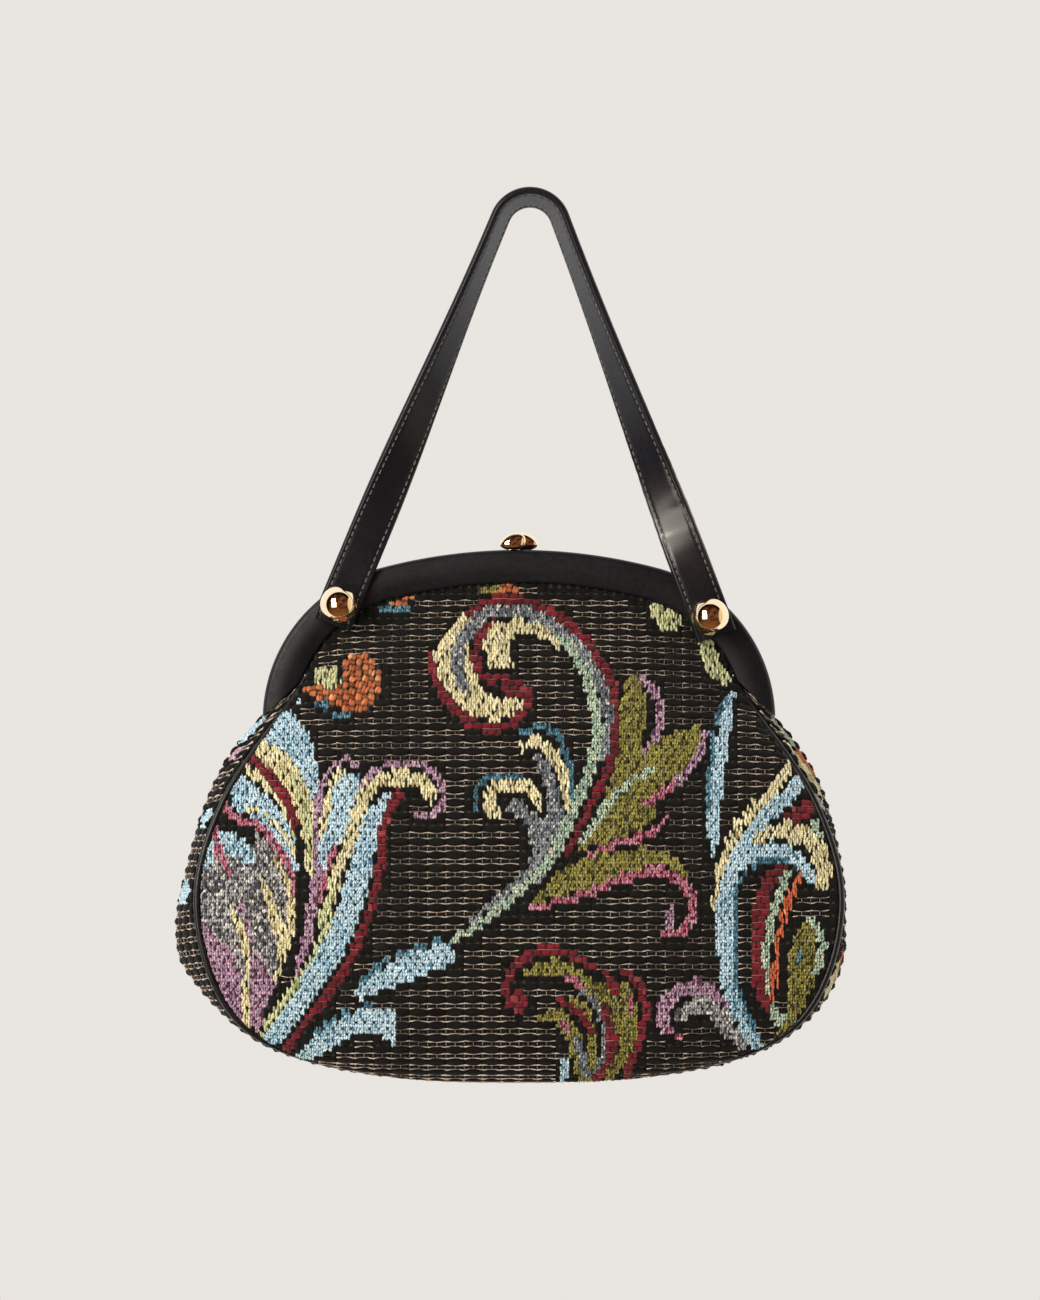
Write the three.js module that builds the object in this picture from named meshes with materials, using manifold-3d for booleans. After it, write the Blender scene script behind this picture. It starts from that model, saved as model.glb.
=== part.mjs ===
// Tapestry granny bag hanging by its strap. Millimetres, +Z up, the front faces -Y.
// The origin is where the bag hangs: under the crest of the strap, at the middle of its width.
import * as THREE from 'three';
import { mergeVertices } from 'three/addons/utils/BufferGeometryUtils.js';
import Module from 'manifold-3d';

const wasm = await Module();
wasm.setup();

const rad = THREE.MathUtils.degToRad;

// Driving dimensions
const GAP = 0.3; // clearance between neighbouring pieces
const HANG_SHIFT = 5; // the bag's middle plane hangs this far left of the strap's crest
const CLOTH = 2.4; // thickness of the tapestry walls
const BACK_FLATNESS = 0.85; // the back bulges this share of the front's bulge

// Arched frame in two halves: leather over metal, two arcs on each side of the crown.
const FRAME = {
  top: -158.6, // height of the crown
  crownRadius: 245,
  shoulderRadius: 71.5,
  crownAngle: rad(15), // where the crown's arc meets the shoulder's
  endAngle: rad(87), // outer end of the shoulder's arc
  endSlant: rad(21), // the inner edge ends this much sooner
  slantStart: 0.75, // share of the half arch where the sections start to slant
  face: 15, // width of the visible face
  depth: 8.5, // of one half, measured from the middle plane
  slotDepth: 5, // how far the cloth is tucked in
  slotMiddle: 4.6, // distance of the slot from the middle plane
  edgeRound: 2.4, // of the outer edge
  innerEdge: 1.3, // the leather is turned in by this much at the lip
  steps: 34,
};

// Cross section of the front half: distance in from the outer edge, distance from the middle plane.
const slotHalf = CLOTH / 2 + GAP;
const roundMiddle = FRAME.edgeRound * (1 - Math.SQRT1_2);
const FRAME_SECTION = [
  { inset: 0, depth: GAP },
  { inset: 0, depth: FRAME.depth - FRAME.edgeRound },
  { inset: roundMiddle, depth: FRAME.depth - roundMiddle },
  { inset: FRAME.edgeRound, depth: FRAME.depth },
  { inset: FRAME.face - FRAME.innerEdge, depth: FRAME.depth },
  { inset: FRAME.face, depth: FRAME.depth - FRAME.innerEdge },
  { inset: FRAME.face, depth: FRAME.slotMiddle + slotHalf },
  { inset: FRAME.face - FRAME.slotDepth, depth: FRAME.slotMiddle + slotHalf },
  { inset: FRAME.face - FRAME.slotDepth, depth: FRAME.slotMiddle - slotHalf },
  { inset: FRAME.face, depth: FRAME.slotMiddle - slotHalf },
  { inset: FRAME.face, depth: GAP },
];

// The body from the frame's slot down to the bottom seam, a row for each level:
// the panel's middle line (depth and height), its seam (half width, depth and height),
// the share of the frame's arch that the row follows, and the gusset's outermost line.
const BODY_COLUMNS = [
  'middleDepth', 'middleZ', 'seamX', 'seamDepth', 'seamZ', 'arch', 'ridgeLeft', 'ridgeRight', 'ridgeZ',
];
const BODY_ROWS = [
  [4.6, -169.6, 100.2, 4.6, -211.4, 1.0, 114.3, 114.3, -231.4],
  [4.6, -174.0, 96.1, 4.6, -213.2, 1.0, 115.6, 115.6, -233.8],
  [7.8, -182.5, 98.9, 6.5, -220.6, 0.95, 117.6, 116.8, -236.9],
  [13.6, -194.0, 104.5, 9.2, -229.4, 0.8, 121.6, 119.8, -241.0],
  [22.0, -208.0, 112.0, 13.0, -239.8, 0.6, 126.9, 125.0, -247.6],
  [29.5, -225.0, 121.5, 17.5, -252.6, 0.4, 133.2, 131.2, -257.0],
  [37.0, -246.0, 131.7, 22.0, -268.6, 0.2, 140.0, 137.6, -271.0],
  [43.5, -271.0, 140.3, 26.0, -289.0, 0.05, 146.2, 142.6, -289.6],
  [47.0, -292.0, 144.6, 29.0, -306.0, 0.0, 150.4, 145.6, -307.0],
  [49.0, -312.0, 145.3, 31.0, -322.0, 0.0, 154.0, 146.6, -324.0],
  [49.5, -335.0, 142.2, 32.0, -341.0, 0.0, 153.0, 146.0, -343.0],
  [48.0, -357.0, 135.6, 32.0, -358.5, 0.0, 141.8, 139.8, -359.4],
  [44.0, -376.0, 126.8, 31.0, -371.4, 0.0, 129.4, 129.0, -372.0],
  [38.5, -389.5, 116.8, 29.5, -379.4, 0.0, 117.6, 117.6, -379.8],
  [30.5, -397.6, 105.0, 27.0, -385.2, 0.0, 105.2, 105.2, -385.6],
  [21.0, -397.4, 92.0, 24.0, -389.6, 0.0, 92.2, 92.2, -390.0],
].map((row) => Object.fromEntries(BODY_COLUMNS.map((name, k) => [name, row[k]])));
const LIP_ROW = 1; // where the cloth leaves the frame's slot
const LAST_ROW = BODY_ROWS.length - 1;
const CROWN_POWER = 2.6; // how square the panels' bulge is from side to side
const SMILE_POWER = 2.8; // how late the lower rows turn up towards the seam
const BOTTOM_RIDGE_Z = -398.2; // lowest line of the gusset under the bag

const PANEL = { levels: 22, columns: 18 };
const GUSSET = { start: 1.3, sideStations: 17, bottomStations: 9, across: 6 };
const PIPING = { radius: 1.6, room: 2.7, start: 1.5, sideSteps: 22, bottomSteps: 12, quarterSides: 4 };

// Strap: flat over the studs, turned on edge by the time it reaches its crest.
const STRAP = {
  width: 18.5,
  thickness: 3.4,
  corner: 1,
  crestRadius: 12.7, // of the rod that it is made to hang on
  crestTurn: rad(70), // turned from facing the front
  flatShare: 0.14, // share of each leg that stays flat on the frame
  turnPower: 1.15,
  tail: 9.4, // past the stud's middle
  legSteps: 13,
  crestSteps: 10,
};
const STUDS = [
  { name: 'left', side: -1, x: -81.4, z: -183.6 },
  { name: 'right', side: 1, x: 86.4, z: -189.0 },
];
const STUD = {
  ball: 8.5, // radius
  neck: 4.6, // radius where the ball is cut off flat
  collar: 5.6,
  collarHeight: 1.1,
  post: 1.8,
  postReach: 4, // into the frame
  segments: 20,
  arcSteps: 10,
  holeSides: 12,
};
const CLASP = { offset: 3.9, depth: 3.0, height: 7.9, half: 4.75, stem: 2, segments: 16 };
// The knob's outline in shares of its half width and height, from the top of the stem.
const CLASP_OUTLINE = [
  { out: 0.72, up: 0.24 }, { out: 1, up: 0.48 }, { out: 0.9, up: 0.7 }, { out: 0.6, up: 0.91 },
];
const CLASP_STEM_TOP = 0.14;
const HINGE_PIN = { x: 107.5, z: -217, length: 10, radius: 2, sides: 12 };

// Looks of the real materials
const tapestry = { color: 0x2b2521, roughness: 0.95, metalness: 0 };
const blackLeather = { color: 0x16161a, roughness: 0.5, metalness: 0 };
const paleGold = { color: 0xd8b07c, roughness: 0.16, metalness: 1 };
const steel = { color: 0x8f8f92, roughness: 0.4, metalness: 1 };

const bag = new THREE.Group();
bag.position.x = -HANG_SHIFT;

function addPiece(name, geometry, look) {
  const mesh = new THREE.Mesh(geometry, new THREE.MeshStandardMaterial(look));
  mesh.name = name;
  bag.add(mesh);
}

// Solids from rings and grids of points

function indexedGeometry(points, faces) {
  const geometry = new THREE.BufferGeometry().setFromPoints(points);
  geometry.setIndex(faces.flat());
  return geometry;
}

// A solid through equal rings of points, closed by flat ends that the 2D outline divides into triangles.
function loft(rings, outline) {
  const n = outline.length;
  const faces = [];
  for (let i = 0; i + 1 < rings.length; i += 1) {
    for (let j = 0; j < n; j += 1) {
      const next = (j + 1) % n;
      const [a, b, c, d] = [i * n + j, i * n + next, (i + 1) * n + next, (i + 1) * n + j];
      faces.push([a, b, c], [a, c, d]);
    }
  }
  const last = (rings.length - 1) * n;
  const clockwise = THREE.ShapeUtils.isClockWise(outline);
  for (const triangle of THREE.ShapeUtils.triangulateShape(outline, [])) {
    const [a, b, c] = clockwise ? [...triangle].reverse() : triangle;
    faces.push([c, b, a], [last + a, last + b, last + c]);
  }
  return facingOut(indexedGeometry(rings.flat(), faces));
}

// A cloth wall of even thickness around a grid of points on its middle surface.
function wall(grid, thickness) {
  const rows = grid.length;
  const columns = grid[0].length;
  const clamp = THREE.MathUtils.clamp;
  const at = (i, j) => grid[clamp(i, 0, rows - 1)][clamp(j, 0, columns - 1)];
  const offset = (i, j, distance) => {
    const down = at(i + 1, j).clone().sub(at(i - 1, j));
    const across = at(i, j + 1).clone().sub(at(i, j - 1));
    return at(i, j).clone().addScaledVector(across.cross(down).normalize(), distance);
  };
  const points = [];
  for (const distance of [thickness / 2, -thickness / 2]) {
    for (let i = 0; i < rows; i += 1) {
      for (let j = 0; j < columns; j += 1) points.push(offset(i, j, distance));
    }
  }
  const inner = rows * columns;
  const faces = [];
  const quad = (a, b, c, d) => faces.push([a, b, c], [a, c, d]);
  for (let i = 0; i + 1 < rows; i += 1) {
    for (let j = 0; j + 1 < columns; j += 1) {
      const a = i * columns + j;
      quad(a, a + columns, a + columns + 1, a + 1);
      quad(inner + a, inner + a + 1, inner + a + columns + 1, inner + a + columns);
    }
  }
  const rim = [];
  for (let j = 0; j < columns; j += 1) rim.push(j);
  for (let i = 1; i < rows; i += 1) rim.push(i * columns + columns - 1);
  for (let j = columns - 2; j >= 0; j -= 1) rim.push((rows - 1) * columns + j);
  for (let i = rows - 2; i > 0; i -= 1) rim.push(i * columns);
  rim.forEach((a, k) => {
    const b = rim[(k + 1) % rim.length];
    quad(a, b, inner + b, inner + a);
  });
  return facingOut(indexedGeometry(points, faces));
}

// Turns a closed shell's faces round if they point inwards.
function facingOut(geometry) {
  const position = geometry.attributes.position;
  const index = geometry.index.array;
  const [a, b, c] = [new THREE.Vector3(), new THREE.Vector3(), new THREE.Vector3()];
  let volume = 0;
  for (let k = 0; k < index.length; k += 3) {
    a.fromBufferAttribute(position, index[k]);
    b.fromBufferAttribute(position, index[k + 1]);
    c.fromBufferAttribute(position, index[k + 2]);
    volume += a.dot(b.cross(c));
  }
  if (volume < 0) {
    for (let k = 0; k < index.length; k += 3) [index[k], index[k + 1]] = [index[k + 1], index[k]];
  }
  return geometry;
}

function solidOf(geometry) {
  const bare = geometry.clone();
  bare.deleteAttribute('normal');
  bare.deleteAttribute('uv');
  const merged = mergeVertices(bare);
  return new wasm.Manifold(new wasm.Mesh({
    numProp: 3,
    vertProperties: new Float32Array(merged.attributes.position.array),
    triVerts: new Uint32Array(merged.index.array),
  }));
}

function cut(geometry, tools) {
  const solid = tools.reduce((left, tool) => left.subtract(solidOf(tool)), solidOf(geometry));
  const mesh = solid.getMesh();
  const result = new THREE.BufferGeometry();
  result.setAttribute('position', new THREE.BufferAttribute(mesh.vertProperties, 3));
  result.setIndex(new THREE.BufferAttribute(mesh.triVerts, 1));
  return result;
}

// The frame's arch

const crownCentre = { x: 0, z: FRAME.top - FRAME.crownRadius };
const centreStep = FRAME.crownRadius - FRAME.shoulderRadius;
const shoulderCentre = {
  x: centreStep * Math.sin(FRAME.crownAngle),
  z: crownCentre.z + centreStep * Math.cos(FRAME.crownAngle),
};

// A point on the right half of the arch: angle from the vertical, inset from the outer edge.
function archPoint(angle, inset) {
  const onCrown = angle <= FRAME.crownAngle;
  const centre = onCrown ? crownCentre : shoulderCentre;
  const radius = (onCrown ? FRAME.crownRadius : FRAME.shoulderRadius) - inset;
  return { x: centre.x + radius * Math.sin(angle), z: centre.z + radius * Math.cos(angle) };
}

// The angle reached after a share of the half arch's length.
function archAngle(share) {
  const crownLength = FRAME.crownRadius * FRAME.crownAngle;
  const shoulderLength = FRAME.shoulderRadius * (FRAME.endAngle - FRAME.crownAngle);
  const length = share * (crownLength + shoulderLength);
  if (length <= crownLength) return length / FRAME.crownRadius;
  return FRAME.crownAngle + (length - crownLength) / FRAME.shoulderRadius;
}

// How far the lip has dropped at a share of its half width, from 0 at the crown to 1 at its end.
function lipDrop(share) {
  const end = archPoint(FRAME.endAngle - FRAME.endSlant, FRAME.face);
  const crownZ = FRAME.top - FRAME.face;
  const x = Math.min(Math.abs(share), 1) * end.x;
  const crownReach = archPoint(FRAME.crownAngle, FRAME.face).x;
  const centre = x <= crownReach ? crownCentre : shoulderCentre;
  const radius = (x <= crownReach ? FRAME.crownRadius : FRAME.shoulderRadius) - FRAME.face;
  const z = centre.z + Math.sqrt(radius ** 2 - (x - centre.x) ** 2);
  return (crownZ - z) / (crownZ - end.z);
}

function frameHalf(front) {
  const rings = [];
  for (let k = 0; k <= FRAME.steps; k += 1) {
    const along = (2 * k) / FRAME.steps - 1;
    const share = Math.abs(along);
    const slanting = Math.max(0, (share - FRAME.slantStart) / (1 - FRAME.slantStart));
    rings.push(FRAME_SECTION.map(({ inset, depth }) => {
      const sooner = FRAME.endSlant * slanting * (inset / FRAME.face);
      const point = archPoint(archAngle(share) - sooner, inset);
      return new THREE.Vector3(Math.sign(along) * point.x, front * depth, point.z);
    }));
  }
  return loft(rings, FRAME_SECTION.map(({ inset, depth }) => new THREE.Vector2(inset, depth)));
}

// The body's soft surfaces

// A column of the body's table at any level, on a smooth curve through its rows.
function bodyValue(column, level) {
  const i = Math.min(Math.floor(level), LAST_ROW - 1);
  const t = level - i;
  const value = (k) => BODY_ROWS[k][column];
  const [p1, p2] = [value(i), value(i + 1)];
  const p0 = i > 0 ? value(i - 1) : 2 * p1 - p2;
  const p3 = i + 2 <= LAST_ROW ? value(i + 2) : 2 * p2 - p1;
  const [startSlope, endSlope] = [(p2 - p0) / 2, (p3 - p1) / 2];
  return p1 + startSlope * t
    + (3 * (p2 - p1) - 2 * startSlope - endSlope) * t ** 2
    + (2 * (p1 - p2) + startSlope + endSlope) * t ** 3;
}

// Depth from the middle plane for the front (-1) or the flatter back (+1).
function depthOn(face, depth) {
  if (face < 0) return -depth;
  return FRAME.slotMiddle + (depth - FRAME.slotMiddle) * BACK_FLATNESS;
}

// A point on a panel's middle surface: level in rows, across from -1 to 1 between the seams.
function panelPoint(face, level, across) {
  const body = Object.fromEntries(BODY_COLUMNS.map((column) => [column, bodyValue(column, level)]));
  const side = Math.abs(across);
  const drop = body.arch * lipDrop(side) + (1 - body.arch) * side ** SMILE_POWER;
  const z = body.middleZ + (body.seamZ - body.middleZ) * drop;
  const depth = body.seamDepth + (body.middleDepth - body.seamDepth) * (1 - side ** CROWN_POWER);
  return new THREE.Vector3(across * body.seamX, depthOn(face, depth), z);
}

// Pulls a wall's edge back from its seam, to leave room for the piping.
function clearOfPiping(edge, neighbours) {
  return edge.map((point, k) => {
    const [before, after] = [edge[Math.max(k - 1, 0)], edge[Math.min(k + 1, edge.length - 1)]];
    const along = after.clone().sub(before).normalize();
    const inward = neighbours[k].clone().sub(point);
    inward.addScaledVector(along, -inward.dot(along)).normalize();
    return point.clone().addScaledVector(inward, PIPING.room);
  });
}

function panelWall(face) {
  const grid = [];
  for (let i = 0; i <= PANEL.levels; i += 1) {
    const level = i === 0 ? 0 : LIP_ROW + ((i - 1) / (PANEL.levels - 1)) * (LAST_ROW - LIP_ROW);
    const row = [];
    for (let j = 0; j <= PANEL.columns; j += 1) {
      row.push(panelPoint(face, level, (2 * j) / PANEL.columns - 1));
    }
    grid.push(row);
  }
  // The seam runs down the left edge, along the bottom and up the right, by each point its inner neighbour.
  const { levels, columns } = PANEL;
  const seam = [];
  for (let i = 0; i < levels; i += 1) seam.push({ i, j: 0, inner: grid[i][1] });
  for (let j = 0; j <= columns; j += 1) {
    seam.push({ i: levels, j, inner: grid[levels - 1][THREE.MathUtils.clamp(j, 1, columns - 1)] });
  }
  for (let i = levels - 1; i >= 0; i -= 1) seam.push({ i, j: columns, inner: grid[i][columns - 1] });
  const edge = clearOfPiping(seam.map(({ i, j }) => grid[i][j]), seam.map(({ inner }) => inner));
  seam.forEach(({ i, j }, k) => {
    grid[i][j] = edge[k];
  });
  return wall(grid, CLOTH);
}

// Stops along the whole seam, from the left end of the frame, under the bag, to the right end.
function seamStops(start, sideSteps, bottomSteps) {
  const stops = [];
  const levelAt = (k) => start + (k / sideSteps) * (LAST_ROW - start);
  for (let k = 0; k <= sideSteps; k += 1) stops.push({ level: levelAt(k), across: -1 });
  for (let k = 1; k < bottomSteps; k += 1) {
    stops.push({ level: LAST_ROW, across: (2 * k) / bottomSteps - 1 });
  }
  for (let k = sideSteps; k >= 0; k -= 1) stops.push({ level: levelAt(k), across: 1 });
  return stops;
}

// The gusset's outermost point at a stop along the seam.
function ridgePoint({ level, across }) {
  const x = bodyValue(across < 0 ? 'ridgeLeft' : 'ridgeRight', level);
  const cornerZ = bodyValue('ridgeZ', level);
  const z = BOTTOM_RIDGE_Z + (cornerZ - BOTTOM_RIDGE_Z) * Math.abs(across) ** SMILE_POWER;
  return new THREE.Vector3(across * x, 0, z);
}

function gussetWall() {
  const grid = seamStops(GUSSET.start, GUSSET.sideStations, GUSSET.bottomStations).map((stop) => {
    const front = panelPoint(-1, stop.level, stop.across);
    const back = panelPoint(1, stop.level, stop.across);
    const middle = front.clone().lerp(back, 0.5);
    const swell = ridgePoint(stop).sub(middle).setY(0);
    const row = [];
    for (let j = 0; j <= GUSSET.across; j += 1) {
      const w = j / GUSSET.across;
      row.push(front.clone().lerp(back, w).addScaledVector(swell, Math.sin(Math.PI * w)));
    }
    return row;
  });
  const columnOf = (j) => grid.map((row) => row[j]);
  const front = clearOfPiping(columnOf(0), columnOf(1));
  const back = clearOfPiping(columnOf(GUSSET.across), columnOf(GUSSET.across - 1));
  grid.forEach((row, i) => {
    row[0] = front[i];
    row[GUSSET.across] = back[i];
  });
  return wall(grid, CLOTH);
}

function pipingTube(face) {
  const stops = seamStops(PIPING.start, PIPING.sideSteps, PIPING.bottomSteps);
  const points = stops.map(({ level, across }) => panelPoint(face, level, across));
  const path = new THREE.CatmullRomCurve3(points);
  const circle = new THREE.Shape().absarc(0, 0, PIPING.radius, 0, 2 * Math.PI);
  return new THREE.ExtrudeGeometry(circle, {
    extrudePath: path,
    steps: 2 * PIPING.sideSteps + PIPING.bottomSteps,
    curveSegments: PIPING.quarterSides,
    bevelEnabled: false,
  });
}

// The strap's middle line with the way its width turns: two straight legs and a round crest.

const strapBack = FRAME.depth + GAP;
const strapMiddle = strapBack + STRAP.thickness / 2;
const strapFront = strapBack + STRAP.thickness;
const crestRadius = STRAP.crestRadius + STRAP.thickness / 2;
const crestCentre = { x: HANG_SHIFT, z: -STRAP.crestRadius };

// The angle round the crest, from its top, at which a leg leaves it straight towards its stud.
function leavingAngle(stud) {
  const dx = Math.abs(stud.x - crestCentre.x);
  const dz = stud.z - crestCentre.z;
  return Math.atan2(dx, dz) - Math.acos(crestRadius / Math.hypot(dx, dz));
}

function crestPoint(angle) {
  return new THREE.Vector3(
    crestCentre.x + crestRadius * Math.sin(angle),
    0,
    crestCentre.z + crestRadius * Math.cos(angle),
  );
}

// Stations of one leg, from its tail up to the crest, each with its place and turn.
function legStations(stud) {
  const foot = new THREE.Vector3(stud.x, -strapMiddle, stud.z);
  const top = crestPoint(stud.side * leavingAngle(stud));
  const down = foot.clone().sub(top).setY(0).normalize();
  const stations = [{ point: foot.clone().addScaledVector(down, STRAP.tail), turn: 0 }];
  for (let k = 0; k < STRAP.legSteps; k += 1) {
    const share = k / STRAP.legSteps;
    const turning = Math.max(0, (share - STRAP.flatShare) / (1 - STRAP.flatShare));
    const point = foot.clone().lerp(top, share);
    point.y = THREE.MathUtils.lerp(-strapMiddle, 0, turning);
    const turn = STRAP.crestTurn * Math.sin((turning * Math.PI) / 2) ** STRAP.turnPower;
    stations.push({ point, turn });
  }
  return stations;
}

function strapSolid() {
  const [left, right] = STUDS;
  const stations = legStations(left);
  const [from, to] = [-leavingAngle(left), leavingAngle(right)];
  for (let k = 0; k <= STRAP.crestSteps; k += 1) {
    const angle = THREE.MathUtils.lerp(from, to, k / STRAP.crestSteps);
    stations.push({ point: crestPoint(angle), turn: STRAP.crestTurn });
  }
  stations.push(...legStations(right).reverse());

  const [half, flat, corner] = [STRAP.width / 2, STRAP.thickness / 2, STRAP.corner];
  const outline = [
    [half - corner, -flat], [half, corner - flat], [half, flat - corner], [half - corner, flat],
    [corner - half, flat], [-half, flat - corner], [-half, corner - flat], [corner - half, -flat],
  ].map(([across, through]) => new THREE.Vector2(across, through));
  const rings = stations.map(({ point, turn }, k) => {
    const before = stations[Math.max(k - 1, 0)].point;
    const after = stations[Math.min(k + 1, stations.length - 1)].point;
    const along = after.clone().sub(before).normalize();
    const outward = new THREE.Vector3(-along.z, 0, along.x).normalize();
    const width = outward.multiplyScalar(Math.cos(turn)).add(new THREE.Vector3(0, -Math.sin(turn), 0));
    width.addScaledVector(along, -width.dot(along)).normalize();
    const normal = width.clone().cross(along);
    const placed = ({ x, y }) => point.clone().addScaledVector(width, x).addScaledVector(normal, y);
    return outline.map(placed);
  });
  return loft(rings, outline);
}

// Metal fittings, turned about an axis

function turned(profile, segments) {
  return new THREE.LatheGeometry(profile.map(([r, h]) => new THREE.Vector2(r, h)), segments);
}

// A ball on a collar, with a post through the strap into the frame. Its axis points to the front.
function studBall() {
  const postLength = STUD.postReach + STRAP.thickness + GAP;
  const neckAngle = Math.asin(STUD.neck / STUD.ball);
  const middle = STUD.collarHeight + STUD.ball * Math.cos(neckAngle);
  const profile = [
    [0, -postLength], [STUD.post, -postLength], [STUD.post, 0],
    [STUD.collar, 0], [STUD.collar, STUD.collarHeight],
  ];
  for (let k = 0; k < STUD.arcSteps; k += 1) {
    const angle = (Math.PI - neckAngle) * (1 - k / STUD.arcSteps);
    profile.push([STUD.ball * Math.sin(angle), middle + STUD.ball * Math.cos(angle)]);
  }
  profile.push([0, middle + STUD.ball]);
  return turned(profile, STUD.segments);
}

// One knob of the clasp, standing on the frame's crown.
function claspKnob() {
  const { height, half, stem } = CLASP;
  const knob = CLASP_OUTLINE.map(({ out, up }) => [out * half, up * height]);
  return turned([[0, 0], [stem, 0], [stem, CLASP_STEM_TOP * height], ...knob, [0, height]], CLASP.segments);
}

// A round hole along Y for a stud's post, open to the front.
function postHole({ x, z }) {
  const reach = STUD.postReach + GAP;
  const length = reach + STRAP.thickness + 2 * GAP;
  const hole = new THREE.CylinderGeometry(STUD.post + GAP, STUD.post + GAP, length, STUD.holeSides);
  return hole.translate(x, -FRAME.depth + reach - length / 2, z);
}

function hingePin(side, clearance) {
  const radius = HINGE_PIN.radius + clearance;
  const pin = new THREE.CylinderGeometry(radius, radius, HINGE_PIN.length + 2 * clearance, HINGE_PIN.sides);
  return pin.rotateZ(Math.PI / 2).translate(side * HINGE_PIN.x, 0, HINGE_PIN.z);
}

// Assembly

const pinRooms = [hingePin(-1, GAP), hingePin(1, GAP)];
addPiece('frame_front', cut(frameHalf(-1), [...pinRooms, ...STUDS.map(postHole)]), blackLeather);
addPiece('frame_back', cut(frameHalf(1), pinRooms), blackLeather);
addPiece('hinge_pin_left', hingePin(-1, 0), steel);
addPiece('hinge_pin_right', hingePin(1, 0), steel);

addPiece('front_panel', panelWall(-1), tapestry);
addPiece('back_panel', panelWall(1), tapestry);
addPiece('gusset', gussetWall(), tapestry);
addPiece('piping_front', pipingTube(-1), blackLeather);
addPiece('piping_back', pipingTube(1), blackLeather);

addPiece('strap', cut(strapSolid(), STUDS.map(postHole)), blackLeather);
for (const { name, x, z } of STUDS) {
  addPiece(`stud_${name}`, studBall().rotateZ(Math.PI).translate(x, -strapFront - GAP, z), paleGold);
}
for (const [name, face] of [['front', -1], ['back', 1]]) {
  const knob = claspKnob().rotateX(Math.PI / 2);
  knob.translate(face * CLASP.offset, face * CLASP.depth, FRAME.top + GAP);
  addPiece(`clasp_${name}`, knob, paleGold);
}

export default bag;
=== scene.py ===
"""Looks of a tapestry granny bag that hangs by its strap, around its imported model.

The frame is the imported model's: metres, +Z up, the front faces -Y, the origin lies under the strap's crest.
Sizes here are in millimetres, as in the part's source, and turn to metres when a mesh is made.
"""

import logging
import math
from dataclasses import dataclass
from enum import Enum
from typing import Any, Callable, Optional, Sequence, Union

import bpy
import numpy as np
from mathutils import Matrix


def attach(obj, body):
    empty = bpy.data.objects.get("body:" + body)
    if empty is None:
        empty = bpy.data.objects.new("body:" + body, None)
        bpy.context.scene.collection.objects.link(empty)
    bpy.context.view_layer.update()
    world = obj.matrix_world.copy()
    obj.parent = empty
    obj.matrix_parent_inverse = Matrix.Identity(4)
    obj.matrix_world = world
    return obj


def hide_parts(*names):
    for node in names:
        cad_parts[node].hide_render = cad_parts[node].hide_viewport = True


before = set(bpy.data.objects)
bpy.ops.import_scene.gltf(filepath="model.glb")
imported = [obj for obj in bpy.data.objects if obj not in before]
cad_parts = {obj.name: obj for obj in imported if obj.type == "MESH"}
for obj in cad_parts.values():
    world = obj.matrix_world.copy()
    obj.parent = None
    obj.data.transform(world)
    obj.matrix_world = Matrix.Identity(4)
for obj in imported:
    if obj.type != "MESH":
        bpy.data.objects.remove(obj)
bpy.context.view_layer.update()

LOG = logging.getLogger("granny_bag")
MM = 0.001
BODY = "root"
SEED = 1907
HANG_SHIFT = 5.0  # the bag's middle plane hangs this far left of the strap's crest
CLOTH_OUT = 0.4  # ground cloth's outer face, above the middle of the wall
CLOTH_THICK = 1.6
SEAM_ROOM = 1.75  # stitches stop this far from the seam line, against the piping

# The body from the frame's slot to the bottom seam, a row for each level, as in the part's source.
BODY_COLUMNS = (
    "middle_depth", "middle_z", "seam_x", "seam_depth", "seam_z", "arch",
    "ridge_left", "ridge_right", "ridge_z",
)
BODY_ROWS = (
    (4.6, -169.6, 100.2, 4.6, -211.4, 1.0, 114.3, 114.3, -231.4),
    (4.6, -174.0, 96.1, 4.6, -213.2, 1.0, 115.6, 115.6, -233.8),
    (7.8, -182.5, 98.9, 6.5, -220.6, 0.95, 117.6, 116.8, -236.9),
    (13.6, -194.0, 104.5, 9.2, -229.4, 0.8, 121.6, 119.8, -241.0),
    (22.0, -208.0, 112.0, 13.0, -239.8, 0.6, 126.9, 125.0, -247.6),
    (29.5, -225.0, 121.5, 17.5, -252.6, 0.4, 133.2, 131.2, -257.0),
    (37.0, -246.0, 131.7, 22.0, -268.6, 0.2, 140.0, 137.6, -271.0),
    (43.5, -271.0, 140.3, 26.0, -289.0, 0.05, 146.2, 142.6, -289.6),
    (47.0, -292.0, 144.6, 29.0, -306.0, 0.0, 150.4, 145.6, -307.0),
    (49.0, -312.0, 145.3, 31.0, -322.0, 0.0, 154.0, 146.6, -324.0),
    (49.5, -335.0, 142.2, 32.0, -341.0, 0.0, 153.0, 146.0, -343.0),
    (48.0, -357.0, 135.6, 32.0, -358.5, 0.0, 141.8, 139.8, -359.4),
    (44.0, -376.0, 126.8, 31.0, -371.4, 0.0, 129.4, 129.0, -372.0),
    (38.5, -389.5, 116.8, 29.5, -379.4, 0.0, 117.6, 117.6, -379.8),
    (30.5, -397.6, 105.0, 27.0, -385.2, 0.0, 105.2, 105.2, -385.6),
    (21.0, -397.4, 92.0, 24.0, -389.6, 0.0, 92.2, 92.2, -390.0),
)
LAST_LEVEL = len(BODY_ROWS) - 1
LIP_LEVEL = 1.0
CROWN_POWER = 2.6
SMILE_POWER = 2.8
BOTTOM_RIDGE_Z = -398.2
BACK_FLATNESS = 0.85
SLOT_DEPTH_LINE = 4.6  # distance of the frame's slot from the middle plane

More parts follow.
